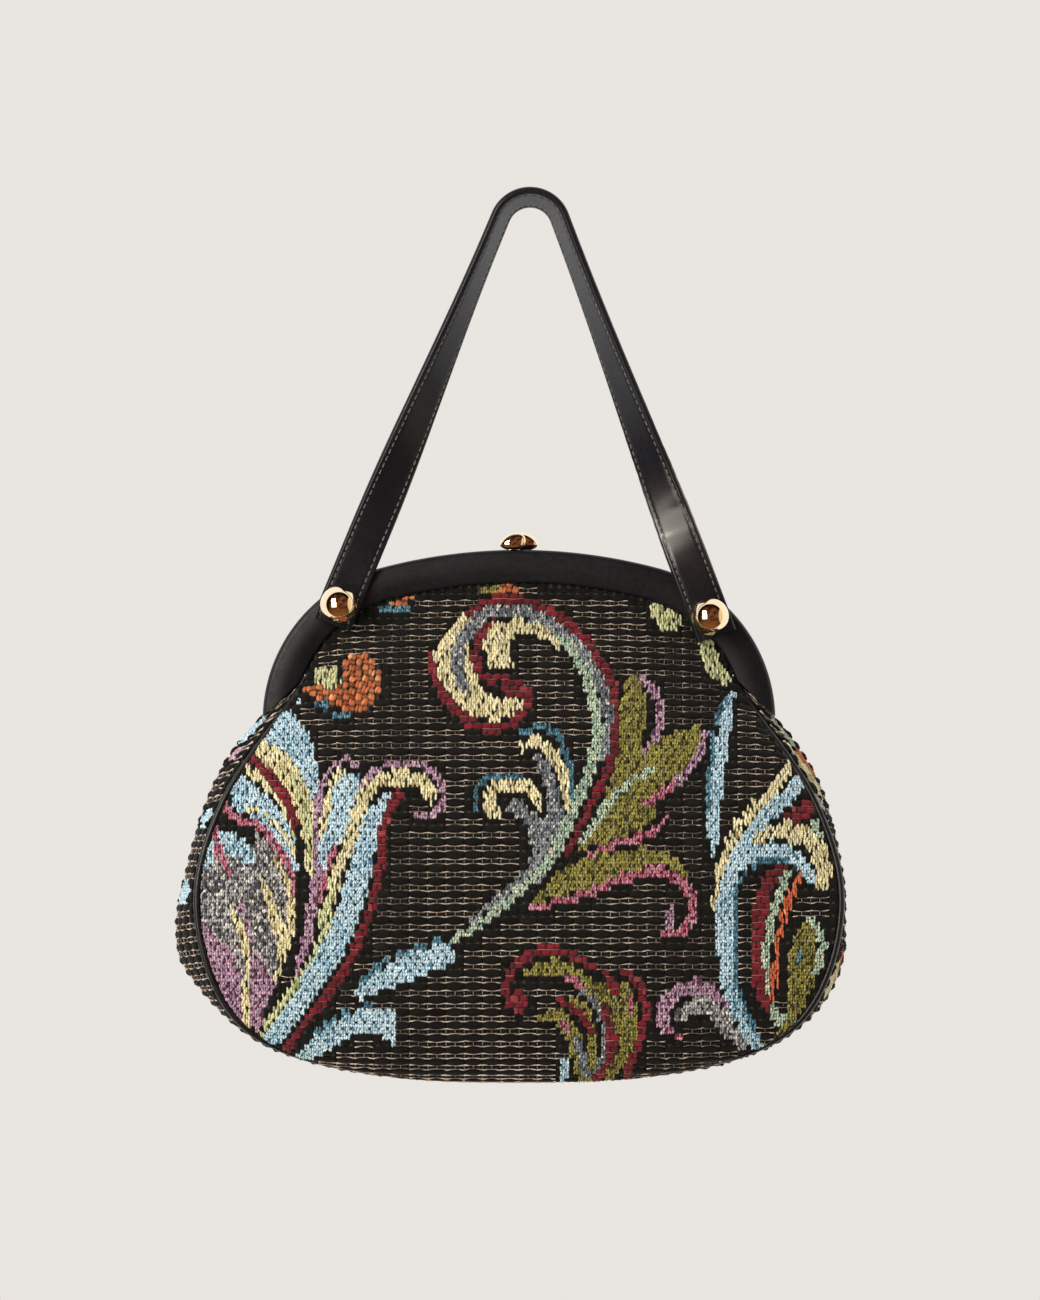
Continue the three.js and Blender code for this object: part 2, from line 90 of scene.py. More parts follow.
MERGE = 1e-6  # metres; vertices closer than this are one
TINY = 1e-9
LOOSE = 0.01  # share of a step by which two borders may differ and still be one
SLOPE_STEP = 0.4  # a cloth's slope is taken over twice this length
STROKE_STEPS = 4  # of a stroke's line between two of its points
WAVE_MM = math.pi / 10  # length of a wave texture's band at scale 1
MIX_SHARE, MIX_A, MIX_B = 0, 6, 7  # sockets of a Mix node for colours
YARN_MAP = "yarn_mm"
DYE_NAME = "yarn"
THREAD_PALE = "#e6d5c5"
THREAD_DIM = "#41362f"
BAR_THREAD = "#a8706c"
SEWING_GREY = "#67625f"

Points = np.ndarray
Pair = tuple[float, float]
Triple = tuple[float, float, float]
Faces = list[tuple[int, ...]]
Piece = bpy.types.Object
Socket = Union[float, Sequence[float], bpy.types.NodeSocket, bpy.types.Node]
Inputs = dict[Union[str, int], Socket]


class Face(Enum):
    """The two large faces of the bag, by the sign of their Y."""

    FRONT = -1
    BACK = 1


class Slot(Enum):
    """Material slots of the record."""

    TAPESTRY = "tapestry"
    LEATHER = "black_leather"
    GOLD = "pale_gold"


class Lie(Enum):
    """How a yarn lies on the cloth."""

    TILE = "wide flat blocks of the ground"
    FLOAT = "upright staggered floats"
    FLECK = "short loose strands"
    BRICK = "short bars in brick order"
    NUB = "oval nubs in checker order"


@dataclass(frozen=True)
class Tone:
    """A dyed yarn: its colour, those of the strands mixed into it, the first one's share, and how it lies.

    A loose mixture differs more from stitch to stitch.
    """

    main: str
    mixed: str
    fleck: str
    share: float
    lie: Lie
    loose: float = 0.22
    fleck_share: float = 0.05


class Yarn(Enum):
    """The yarns of the tapestry."""

    BLACK = Tone("#110e0d", "#131410", "#160f12", 0.45, Lie.TILE)
    CREAM = Tone("#eee4bd", "#d4cb9a", "#a8986a", 0.32, Lie.FLOAT, 0.4, 0.06)
    PALE_GREEN = Tone("#c6cf9e", "#dfd9ac", "#8f9a62", 0.4, Lie.FLOAT, 0.4, 0.08)
    PALE_BLUE = Tone("#d6eefa", "#a9d1e5", "#5b8ca6", 0.34, Lie.FLECK, 0.4, 0.08)
    MINT = Tone("#c8dec4", "#96ae9f", "#e6dfc6", 0.42, Lie.FLECK, 0.5, 0.1)
    TEAL = Tone("#376a80", "#6fa3b8", "#22404e", 0.4, Lie.FLECK, 0.5, 0.1)
    SLATE = Tone("#a2a6ab", "#5e6672", "#dad9d0", 0.45, Lie.FLECK, 0.6, 0.12)
    GREY = Tone("#bab8b9", "#56545c", "#eae6de", 0.4, Lie.FLECK, 0.7, 0.14)
    MAUVE = Tone("#b086a6", "#d4b6c9", "#653f57", 0.4, Lie.FLECK, 0.5, 0.12)
    PINK = Tone("#bd6179", "#d89cb0", "#74293b", 0.4, Lie.FLECK, 0.5, 0.12)
    BURGUNDY = Tone("#771a27", "#5b121c", "#8a3538", 0.4, Lie.BRICK)
    OLIVE = Tone("#a8a054", "#7f7734", "#453f1c", 0.42, Lie.FLECK, 0.45, 0.12)
    RUST = Tone("#d27d4d", "#b05a32", "#e4a678", 0.42, Lie.NUB, 0.4, 0.1)
    ORANGE = Tone("#de7048", "#c2603a", "#eba070", 0.3, Lie.FLOAT)


YARNS = tuple(Yarn)


def unit(vectors: Points) -> Points:
    """Scales vectors to a length of 1."""
    return vectors / np.maximum(np.linalg.norm(vectors, axis=-1, keepdims=True), TINY)


def arc_lengths(points: Points, axis: int = 0) -> Points:
    """Adds up the lengths between points.

    Args:
        points: Lines of points.
        axis: The axis that runs along the lines.

    Returns:
        The length from each line's start to each of its points.
    """
    steps = np.linalg.norm(np.diff(points, axis=axis), axis=-1)
    start = np.zeros_like(np.take(steps, [0], axis=axis))
    return np.concatenate([start, np.cumsum(steps, axis=axis)], axis=axis)


def padded(knots: Points) -> Points:
    """Adds a knot before the first and one after the last, straight on."""
    return np.concatenate([2 * knots[:1] - knots[1:2], knots, 2 * knots[-1:] - knots[-2:-1]])


def between(p0: Points, p1: Points, p2: Points, p3: Points, t: Points) -> Points:
    """Finds points of a smooth curve between the middle two of four knots.

    Args:
        p0: The knot before.
        p1: The knot at t = 0.
        p2: The knot at t = 1.
        p3: The knot after.
        t: Shares of the way.

    Returns:
        The points.
    """
    start, end = (p2 - p0) / 2, (p3 - p1) / 2
    return p1 + start * t + (3 * (p2 - p1) - 2 * start - end) * t**2 + (2 * (p1 - p2) + start + end) * t**3


@dataclass(frozen=True)
class Stroke:
    """One drawn line of the pattern.

    Its path is x, drop, x, drop and so on, in millimetres right of the bag's middle and below the hanging
    point, and its ends are shares of its width.
    """

    yarn: Yarn
    width: float
    path: tuple[float, ...]
    ends: Pair = (1.0, 1.0)

    def line(self) -> Points:
        """Gives a smooth line through the path's points.

        Returns:
            The points of the path with more points between them.
        """
        knots = np.array(self.path, float).reshape(-1, 2)
        around = padded(knots)
        shares = np.linspace(0, 1, STROKE_STEPS + 1)[1:, None]
        parts = [between(*around[k:k + 4], shares) for k in range(len(knots) - 1)]
        return np.concatenate([knots[:1], *parts])

    def covers(self, x: Points, drop: Points) -> Points:
        """Tells which places lie under the stroke, whose width swells over the third of it at each end.

        Args:
            x: The places, right of the bag's middle.
            drop: The same places, below the hanging point.

        Returns:
            True or false for each place.
        """
        line = self.line()
        starts, steps = line[:-1], np.diff(line, axis=0)
        rest = np.stack([x, drop], axis=-1)[..., None, :] - starts
        t = np.clip((rest * steps).sum(-1) / np.maximum((steps**2).sum(-1), TINY), 0, 1)
        gap = np.linalg.norm(rest - t[..., None] * steps, axis=-1)
        along = (np.arange(len(steps)) + t) / len(steps)
        ways = (along, 1 - along)
        first, last = (end + (1 - end) * np.clip(3 * way, 0, 1) for end, way in zip(self.ends, ways))
        return (gap < self.width / 2 * np.minimum(first, last)).any(-1)


@dataclass(frozen=True)
class Field:
    """One filled shape of the pattern. Its outline is x, drop, x, drop and so on, as a stroke's path is."""

    yarn: Yarn
    outline: tuple[float, ...]

    def covers(self, x: Points, drop: Points) -> Points:
        """Tells which places lie inside the outline.

        Args:
            x: The places, right of the bag's middle.
            drop: The same places, below the hanging point.

        Returns:
            True or false for each place.
        """
        corners = np.array(self.outline).reshape(-1, 2)
        inside = np.zeros(x.shape, dtype=bool)
        for (x0, d0), (x1, d1) in zip(corners, np.roll(corners, -1, axis=0)):
            if d0 != d1:
                inside ^= ((d0 > drop) != (d1 > drop)) & (x < x0 + (x1 - x0) * (drop - d0) / (d1 - d0))
        return inside


# Scrolls, leaves and plumes of the pattern. A later shape covers an earlier one.
CHART: tuple[Union[Stroke, Field], ...] = (
    # bits under the lip
    Stroke(Yarn.RUST, 5, (-59.5, 180.5, -50.5, 181)),
    Stroke(Yarn.TEAL, 3.4, (-62.5, 185.8, -51, 185.4)),
    Stroke(Yarn.OLIVE, 5.5, (-16, 176, -6, 176)),
    Stroke(Yarn.RUST, 5, (-5.5, 176, -1.5, 177)),
    Field(Yarn.PALE_GREEN, (60, 183, 65.5, 183, 72.5, 186.5, 75.5, 191, 71, 195.5, 64, 195, 60.5, 189.5)),
    Stroke(Yarn.PALE_GREEN, 6.8, (84, 197.5, 86, 206.5, 88.5, 212.5, 94, 218.5), (1, 0.6)),
    # rust bud
    Field(Yarn.RUST, (-79.5, 210.5, -76.5, 208, -76, 205.5, -69, 205.5, -68.5, 208, -63.5, 212, -62, 213.5,
        -62, 223.5, -70.5, 232.5, -81.5, 231, -92.5, 225, -98, 223.5, -98.5, 221, -95, 220, -88, 221,
        -81, 216.5)),
    Field(Yarn.PALE_GREEN, (-93.5, 217, -90.5, 212, -83.5, 212, -81, 216.5, -82, 221.5, -87, 221.5,
        -92.5, 219)),
    Stroke(Yarn.TEAL, 3, (-91, 230, -87.5, 230)),
    Stroke(Yarn.TEAL, 2, (-83, 233.5, -78, 233.5)),
    Stroke(Yarn.PALE_BLUE, 1.8, (-100.5, 228, -96.5, 228.5)),
    Stroke(Yarn.PALE_GREEN, 2, (-69.5, 229.5, -66.5, 229.5)),
    # centre scroll
    Field(Yarn.CREAM, (-24, 186.5, -30, 191, -35, 198, -38, 204.5, -39.5, 211.5, -27, 231, -19, 235.5,
        -9.5, 236.5, -2.5, 233.5, 2.5, 229.5, 1, 226, -8, 225.5, -14.5, 224, -19, 218.5, -23.5, 202.5,
        -27.5, 196.5, -23.5, 191)),
    Field(Yarn.SLATE, (-17.5, 188, -16.5, 193, -21, 198, -24.5, 204.5, -24.5, 211.5, -23.5, 218.5, -22, 224,
        -26, 223.5, -29.5, 217, -31.5, 210.5, -31, 203.5, -27.5, 196.5)),
    Stroke(Yarn.SLATE, 5.8, (-20, 191, -13.5, 187, -4.5, 186, 6, 188.5, 15.5, 193.5, 23, 199.5, 29.5, 207,
        35.5, 215, 39, 224, 40.5, 234, 40, 243.5, 38.5, 253.5), (0.9, 0.5)),
    Stroke(Yarn.BURGUNDY, 4.6, (-23.5, 188.5, -15.5, 183, -5, 181, 6, 183, 15.5, 187.5, 24, 193.5, 31, 201,
        36.5, 208.5, 41, 216.5, 43.5, 225, 45, 233, 44, 243.5, 42, 254, 38.5, 263.5, 33.5, 273, 29, 283,
        24, 292, 22, 297), (0.8, 0.7)),
    Stroke(Yarn.BURGUNDY, 4.2, (-11, 191, -16, 195.5, -19, 202, -19.5, 209, -16.5, 216, -11.5, 217.5,
        -5.5, 216), (0.8, 0.9)),
    Field(Yarn.CREAM, (-16, 200, -14.5, 195.5, -9.5, 191.5, -1, 190, 8.5, 191.5, 15.5, 196.5, 18.5, 202.5,
        17, 204, 12, 199.5, 5, 196.5, -0.5, 197.5, -5, 202, -5, 207.5, -2.5, 209.5, -3, 213.5, -12.5, 213.5,
        -15, 207.5)),
    Stroke(Yarn.BURGUNDY, 4.6, (-6.5, 221, 0.5, 220.5, 4.5, 224, 4, 230, 0.5, 234.5, -5, 238.5, -12, 239.5,
        -20.5, 238, -27.5, 232.5, -33.5, 225.5, -37.5, 218.5, -40, 210.5, -40.5, 206.5), (0.9, 0.6)),
    Field(Yarn.BURGUNDY, (-7, 219, 1.5, 218, 1, 226, -7, 225.5)),
    # small leaves by the stem
    Field(Yarn.SLATE, (6, 251, 12, 253.5, 16.5, 260.5, 20.5, 279.5, 15.5, 299, 10, 309, 3, 309, 6, 295,
        4.5, 288, 1.5, 281, -7.5, 276, -6.5, 273.5, 0.5, 272.5, 6, 277, 10, 282, 13, 277, 11.5, 266)),
    Stroke(Yarn.CREAM, 5.3, (1.5, 248, 7.5, 246, 13, 249, 17, 254, 20, 262, 21, 270.5, 22, 277.5),
        (0.8, 0.4)),
    Stroke(Yarn.TEAL, 2.8, (1.5, 242, 7.5, 239.5, 13, 240, 18.5, 244, 21.5, 252, 23.5, 260.5, 23.5, 270)),
    Stroke(Yarn.CREAM, 6.1, (-10.5, 279, -13.5, 274, -11.5, 268, -5, 265, 3, 266.5, 8, 270.5, 9.5, 276),
        (0.9, 0.6)),
    Stroke(Yarn.TEAL, 3.1, (-19.5, 276, -20, 269, -16.5, 263.5, -9.5, 261, -2, 261, 4, 263.5), (0.9, 0.7)),
    # stem
    Stroke(Yarn.MINT, 5.6, (18.5, 198.5, 24.5, 205.5, 30, 214.5, 33, 224, 35, 233, 35.5, 243, 33.5, 254,
        30, 265, 25, 276, 20, 288, 13.5, 299, 4.5, 309, -6.5, 319.5, -20, 329.5, -29, 335.5), (0.8, 0.6)),
    Stroke(Yarn.SLATE, 3.3, (11.5, 296.5, 1.5, 307, -9.5, 317, -22, 327.5), (0.8, 0.5)),
    # leaves right of the stem
    Field(Yarn.OLIVE, (47.5, 218, 51.5, 215, 55.5, 218, 58.5, 234, 56.5, 243.5, 55, 253.5, 39, 275.5,
        40.5, 267, 44, 254.5, 46, 239.5, 46.5, 225.5)),
    Stroke(Yarn.MAUVE, 3.9, (55, 216.5, 60.5, 222, 63.5, 229.5, 63.5, 238, 61, 246, 57, 251), (0.7, 0.7)),
    Field(Yarn.OLIVE, (83, 238, 76.5, 239.5, 67, 243.5, 58.5, 249, 39, 271.5, 26, 296.5, 32.5, 293.5,
        43.5, 290.5, 53, 287, 61.5, 280.5, 63, 277, 57.5, 273.5, 65.5, 266, 75.5, 258, 81, 249.5)),
    Stroke(Yarn.MAUVE, 3.9, (84.5, 241.5, 81.5, 252, 75.5, 260, 68.5, 267), (0.7, 1)),
    Stroke(Yarn.PINK, 3.6, (70, 266, 56.5, 274.5), (1, 0.7)),
    Stroke(Yarn.PINK, 3.9, (67, 279.5, 62.5, 285.5, 54.5, 289.5, 46, 291.5, 35, 296.5, 28.5, 300.5),
        (0.7, 0.6)),
    Stroke(Yarn.MINT, 3.9, (60.5, 259, 53, 262.5, 46, 267.5, 41, 273, 36.5, 279.5, 32.5, 285.5, 29, 291),
        (0.7, 1)),
    Field(Yarn.OLIVE, (5, 319.5, 13, 310.5, 21, 302, 31, 298, 43.5, 295.5, 57.5, 293.5, 66.5, 296, 73, 301,
        77, 307, 73.5, 306, 65.5, 302, 20, 316)),
    Stroke(Yarn.PINK, 4.7, (6, 321, 18.5, 318.5, 32.5, 314.5, 43.5, 309, 53, 306, 63, 305, 71, 307.5,
        77.5, 313.5, 79.5, 320.5, 78, 327, 73.5, 332, 67.5, 332), (0.5, 1)),
    Stroke(Yarn.MAUVE, 3.3, (69, 322, 68.5, 329.5)),
    # left plume, upper tufts
    Field(Yarn.PALE_BLUE, (-119, 247.5, -106.5, 231.5, -102, 233.5, -97.5, 238.5, -93.5, 248.5,
        -91.5, 258.5, -91, 278)),
    Field(Yarn.CREAM, (-119, 245, -113, 246, -105.5, 250, -100, 258.5, -95.5, 268, -93, 278, -95.5, 318,
        -102, 283.5, -119, 256.5)),
    Stroke(Yarn.PALE_GREEN, 3.6, (-102.5, 261, -97.5, 275, -95, 289, -94, 305.5), (0.7, 0.8)),
    Stroke(Yarn.CREAM, 3.9, (-130.5, 253.5, -115, 265, -106, 276.5, -101, 293), (0.8, 0.8)),
    Field(Yarn.PALE_BLUE, (-128.5, 260, -119, 266.5, -110.5, 274, -104, 285, -101, 296, -100, 304.5,
        -103, 303.5, -120.5, 280, -128.5, 276.5, -131.5, 269.5)),
    Stroke(Yarn.CREAM, 2.2, (-124.5, 275.5, -115, 279, -106, 288.5, -102, 298), (0.8, 0.8)),
    Stroke(Yarn.BURGUNDY, 4.2, (-127.5, 244.5, -119, 255, -112.5, 262.5, -107, 270, -103, 278.5,
        -101, 286)),
    Stroke(Yarn.PINK, 3.5, (-138, 271, -128.5, 280, -119, 283.5, -112, 290.5, -106.5, 298, -103.5, 306.5,
        -102, 318)),
    Stroke(Yarn.MAUVE, 3.1, (-126.5, 244.5, -123.5, 248)),
    # left plume, grey leaf
    Field(Yarn.GREY, (-143, 294.5, -119, 287.5, -112.5, 292.5, -106.5, 301.5, -103, 312.5, -109.5, 352,
        -125.5, 354, -151, 316.5)),
    Field(Yarn.PALE_BLUE, (-136.5, 285.5, -128.5, 286.5, -120, 295.5, -120, 302.5, -124.5, 302.5,
        -128.5, 298, -133.5, 296, -136, 291.5)),
    Field(Yarn.PALE_BLUE, (-138.5, 289, -138, 300, -141, 303, -144.5, 302)),
    Stroke(Yarn.PINK, 3.5, (-138.5, 285.5, -137, 292.5, -136, 297.5, -131.5, 306), (0.9, 0.8)),
    Field(Yarn.BLACK, (-128, 287.5, -119, 287.5, -120, 293.5, -123.5, 293)),
    Field(Yarn.MAUVE, (-145.5, 325.5, -129, 342.5, -125.5, 354, -125.5, 377, -136, 360, -145, 336)),
    Field(Yarn.MAUVE, (-122.5, 337, -110.5, 356, -116.5, 374.5, -120.5, 379, -122, 365.5)),
    Stroke(Yarn.MAUVE, 2, (-127, 319, -124, 325.5, -121.5, 335.5)),
    Stroke(Yarn.CREAM, 3.9, (-131, 320.5, -127, 329, -124, 337.5, -123, 348.5, -123.5, 360, -124, 376),
        (0.7, 0.8)),
    Stroke(Yarn.CREAM, 5.2, (-117, 310, -113.5, 317.5, -110, 327, -107.5, 336.5, -108.5, 346,
        -110.5, 353.5), (0.6, 0.4)),
    Stroke(Yarn.CREAM, 2.8, (-110, 299, -106, 308.5, -103.5, 319.5, -104, 333.5, -107, 346)),
    # left plume, strips
    Stroke(Yarn.MAUVE, 3.1, (-90.5, 268, -91.5, 318)),
    Stroke(Yarn.MAUVE, 4.8, (-92.5, 308.5, -94, 321, -95.5, 331.5, -98.5, 342.5, -101, 350), (1, 0.5)),
    Stroke(Yarn.BLACK, 3.6, (-100.5, 287, -99, 297.5, -97.5, 311)),
    Stroke(Yarn.BLACK, 4.1, (-98, 310, -99.5, 329, -104, 345, -106, 352, -109, 357.5, -112, 363,
        -113.5, 369, -115, 374.5)),
    Stroke(Yarn.PALE_GREEN, 5.3, (-79, 294.5, -83, 307, -86.5, 319.5, -89.5, 329), (0.7, 1)),
    Stroke(Yarn.PALE_GREEN, 5.2, (-85.5, 324.5, -89, 337, -93.5, 346, -106, 365.5, -113, 374.5,
        -117.5, 380.5), (1, 0.6)),
    # left plume, curl
    Field(Yarn.PALE_BLUE, (-77.5, 260, -72, 262.5, -76, 280.5, -87.5, 306, -90, 304.5, -90.5, 289,
        -85, 265.5)),
    Stroke(Yarn.CREAM, 3.1, (-80.5, 259, -85, 265.5, -87.5, 276.5, -89.5, 287.5)),
    Stroke(Yarn.MAUVE, 2.8, (-90, 268, -85.5, 258.5, -79, 254.5, -73, 256.5)),
    Stroke(Yarn.PINK, 2.1, (-84, 293.5, -90.5, 317)),
    Stroke(Yarn.CREAM, 6.4, (-40.5, 271, -43, 265, -51, 262, -61, 263, -68, 267.5, -72, 275, -76, 287.5,
        -81, 301.5, -85, 312), (1, 0.6)),
    Stroke(Yarn.MAUVE, 3.9, (-71, 264, -63.5, 258, -52.5, 255.5, -41.5, 258, -35, 265.5, -34.5, 273,
        -38.5, 278.5, -45, 279), (0.6, 1)),
    Stroke(Yarn.PALE_BLUE, 11.1, (-58, 270, -65, 278.5, -69, 289, -72, 303, -76, 318, -81.5, 333.5,
        -89.5, 348.5, -98.5, 362.5, -108, 375, -115, 383.5), (0.4, 0.6)),
    Stroke(Yarn.BURGUNDY, 4.4, (-54.5, 269.5, -59, 277, -62, 288, -63, 300, -65, 312.5, -68.5, 325.5,
        -74, 339, -80.5, 351.5, -88.5, 363, -98, 375, -106, 386), (0.9, 0.9)),
    # commas
    Field(Yarn.PALE_BLUE, (-75.5, 361.5, -69.5, 353.5, -59.5, 346.5, -48.5, 341.5, -36, 337.5, -29.5, 339,
        -30, 346.5, -41.5, 350.5, -52.5, 355.5, -65, 360, -72, 363)),
    Stroke(Yarn.TEAL, 2.1, (-72, 355, -61, 345.5, -50, 340.5, -36, 336)),
    Field(Yarn.PALE_BLUE, (-102, 389, -91.5, 378.5, -79, 369, -66.5, 366.5, -55.5, 367.5, -56, 384,
        -65, 377, -75, 378, -83, 383.5, -94, 389.5)),
    Stroke(Yarn.TEAL, 2.1, (-91.5, 377.5, -79, 368, -66.5, 366)),
    # right plume
    Stroke(Yarn.PALE_BLUE, 5.9, (96, 224.5, 94, 235, 92.5, 246, 90.5, 257.5, 89.5, 269, 88.5, 281.5,
        88, 295, 88.5, 298.5), (0.7, 0.3)),
    Stroke(Yarn.TEAL, 2, (93, 226, 89, 238, 87.5, 252, 85.5, 265.5, 85, 277)),
    Stroke(Yarn.CREAM, 5, (122, 257, 118.5, 262, 113, 270, 106.5, 277, 100.5, 283.5, 96.5, 290.5,
        93.5, 299.5, 91, 308.5, 89.5, 317.5, 89.5, 327), (1, 0.4)),
    Stroke(Yarn.PALE_BLUE, 7.3, (126, 266, 122, 270.5, 116.5, 275.5, 109, 283, 103.5, 291, 98.5, 300,
        95.5, 309, 93.5, 320, 93, 331.5, 93.5, 342.5, 95.5, 356.5, 99, 367.5, 103.5, 377, 108, 383.5),
        (1, 0.7)),
    Field(Yarn.BURGUNDY, (118, 281.5, 123, 277.5, 129, 273, 133.5, 273, 135, 277, 130, 281.5,
        124.5, 283.5)),
    Stroke(Yarn.CREAM, 8.9, (108.5, 290.5, 113, 287.5, 120, 286.5, 126.5, 287.5, 133, 291.5, 136.5, 298,
        138.5, 305, 137, 310), (0.5, 0.7)),
    Stroke(Yarn.MINT, 3.4, (133.5, 282.5, 136, 288)),
    Stroke(Yarn.PALE_BLUE, 6.1, (101, 301, 107.5, 296, 115, 294, 122, 296, 127.5, 300, 132.5, 307),
        (0.9, 0.7)),
    Stroke(Yarn.TEAL, 2.3, (102.5, 306, 109.5, 300.5, 118.5, 299, 125.5, 302.5), (0.7, 0.7)),
    Stroke(Yarn.TEAL, 2, (100.5, 307.5, 98.5, 314.5, 97.5, 337, 98.5, 348.5, 100, 360, 103.5, 370,
        109, 379.5)),
    Stroke(Yarn.BURGUNDY, 7.5, (119, 303.5, 114, 308.5, 111, 315.5, 110, 325.5, 109, 337, 109, 348.5,
        110.5, 360, 112, 365.5), (0.6, 0.7)),
    Stroke(Yarn.MINT, 3.9, (122, 304.5, 116.5, 320.5, 114, 329.5, 112.5, 341, 113, 352, 114, 359),
        (0.9, 1)),
    Field(Yarn.MINT, (112.5, 363.5, 117, 365, 120, 370, 125.5, 371, 124.5, 376, 118.5, 377, 114, 371)),
    Stroke(Yarn.ORANGE, 3, (126.5, 307, 123, 316.5, 120, 325.5, 117.5, 335, 116.5, 345, 116, 354, 115, 362),
        (1, 0.8)),
    Field(Yarn.OLIVE, (129, 327.5, 133.5, 329.5, 135, 338, 136, 346, 133.5, 356.5, 129, 366.5, 123, 374.5,
        114.5, 382, 115, 378, 123, 371, 122, 348.5, 123.5, 338)),
    Stroke(Yarn.MINT, 4.1, (132.5, 327.5, 136.5, 332, 137.5, 338, 137, 345, 134.5, 350.5), (0.8, 0.6)),
    Stroke(Yarn.TEAL, 2, (127.5, 342, 127, 345.5)),
    # small arch
    Stroke(Yarn.MAUVE, 6.8, (67, 376.5, 65, 370, 67.5, 362.5, 74.5, 358.5, 82.5, 357, 89, 360.5, 92.5, 366),
        (0.9, 0.7)),
    Stroke(Yarn.GREY, 7.3, (72.5, 370.5, 77.5, 366.5, 85.5, 365.5, 91.5, 370.5, 96, 377, 100.5, 382.5),
        (0.7, 0.7)),
    Stroke(Yarn.BLACK, 3, (77.5, 375, 88.5, 375)),
    Stroke(Yarn.RUST, 2.5, (91, 363.5, 93, 366)),
    Stroke(Yarn.PINK, 2.7, (67, 378, 74, 378.5)),
    # paisley
    Stroke(Yarn.OLIVE, 6.8, (4, 351, 9.5, 348.5, 17.5, 348, 24.5, 351, 31, 356, 38, 361, 43.5, 365.5),
        (0.5, 1)),
    Field(Yarn.OLIVE, (37.5, 355, 46, 354.5, 51, 357.5, 54, 365.5, 54.5, 375.5, 52, 385, 47.5, 393.5,
        42.5, 398.5, 39, 398.5)),
    Field(Yarn.OLIVE, (21.5, 360, 27.5, 362, 33, 369, 36, 379, 35.5, 388, 33, 398.5, 26, 390.5, 31, 385,
        32.5, 377)),
    Stroke(Yarn.OLIVE, 7, (10, 371.5, 16.5, 370, 22, 374.5, 25.5, 382.5, 27.5, 391, 30, 398), (0.5, 0.9)),
    Stroke(Yarn.BURGUNDY, 4.3, (0.5, 367.5, -4.5, 363, -5.5, 356.5, -2.5, 348.5, 5, 342.5, 13, 340,
        21, 341.5, 28, 345, 33, 348.5), (0.9, 0.8)),
    Stroke(Yarn.BURGUNDY, 8, (-0.5, 362.5, 1, 364)),
    Stroke(Yarn.BURGUNDY, 4.1, (39.5, 351.5, 44, 359.5)),
    Stroke(Yarn.BURGUNDY, 4.1, (47, 351, 53, 353.5, 56.5, 360.5, 57.5, 369, 55.5, 379, 52.5, 388,
        48.5, 397.5), (0.8, 0.9)),
    Stroke(Yarn.SLATE, 3.4, (27.5, 357.5, 33.5, 363.5, 37, 370.5, 39, 379, 38, 388, 35, 395), (0.7, 0.8)),
    Stroke(Yarn.BURGUNDY, 3.4, (14, 364, 21, 364, 25.5, 368, 31, 373.5, 33.5, 377), (0.8, 0.7)),
    Stroke(Yarn.BURGUNDY, 4.5, (38, 365, 40.5, 372.5, 42.5, 380, 41.5, 389.5, 35.5, 398), (0.7, 0.8)),
    Stroke(Yarn.PINK, 3.9, (22.5, 352.5, 27.5, 356)),
    Stroke(Yarn.PINK, 3.2, (50.5, 363.5, 51, 367.5)),
    Stroke(Yarn.PINK, 3, (20.5, 373.5, 22.5, 376)),
    Stroke(Yarn.SLATE, 3.9, (26.5, 381.5, 30.5, 396)),
    Stroke(Yarn.PALE_BLUE, 3.4, (21, 391, 20, 398)),
)


@dataclass(frozen=True)
class SidePatch:
    """An oval of pattern on the gusset: side -1 left, 1 right; drop and across of its middle; its sizes."""

    yarn: Yarn
    side: int
    drop: float
    across: float
    tall: float
    wide: float


SIDE_PATCHES: tuple[SidePatch, ...] = (
    SidePatch(Yarn.PALE_BLUE, -1, 243.0, 5.0, 10.0, 12.0),
    SidePatch(Yarn.MAUVE, -1, 253.0, 8.0, 6.0, 7.0),
    SidePatch(Yarn.PALE_BLUE, -1, 281.0, 14.0, 7.0, 14.0),
    SidePatch(Yarn.PALE_BLUE, -1, 315.0, 12.0, 12.0, 22.0),
    SidePatch(Yarn.MINT, 1, 246.0, 6.0, 22.0, 6.0),
    SidePatch(Yarn.CREAM, 1, 262.0, 12.0, 24.0, 7.0),
    SidePatch(Yarn.ORANGE, 1, 256.0, 7.0, 12.0, 5.0),
    SidePatch(Yarn.MINT, 1, 276.0, 18.0, 8.0, 6.0),
    SidePatch(Yarn.CREAM, 1, 354.0, 20.0, 18.0, 12.0),
    SidePatch(Yarn.RUST, 1, 344.0, 14.0, 10.0, 8.0),
    SidePatch(Yarn.BURGUNDY, 1, 290.0, 10.0, 10.0, 8.0),
)


def linear(code: str) -> Triple:
    """Turns an sRGB hex colour into linear values.

    Args:
        code: The colour, as #rrggbb.

    Returns:
        Red, green and blue from 0 to 1.
    """
    parts = [int(code[k:k + 2], 16) / 255 for k in (1, 3, 5)]
    return tuple(c / 12.92 if c <= 0.04045 else ((c + 0.055) / 1.055) ** 2.4 for c in parts)


def set_inputs(tree: bpy.types.NodeTree, node: bpy.types.Node, inputs: Inputs) -> None:
    """Sets or links a node's sockets.

    Args:
        tree: The node's tree.
        node: The node.
        inputs: For a socket's name or number, a value, an output to link, or a node for its first output.
    """
    for key, value in inputs.items():
        if isinstance(value, bpy.types.Node):
            value = next(output for output in value.outputs if output.enabled)
        if isinstance(value, bpy.types.NodeSocket):
            tree.links.new(value, node.inputs[key])
        else:
            node.inputs[key].default_value = value


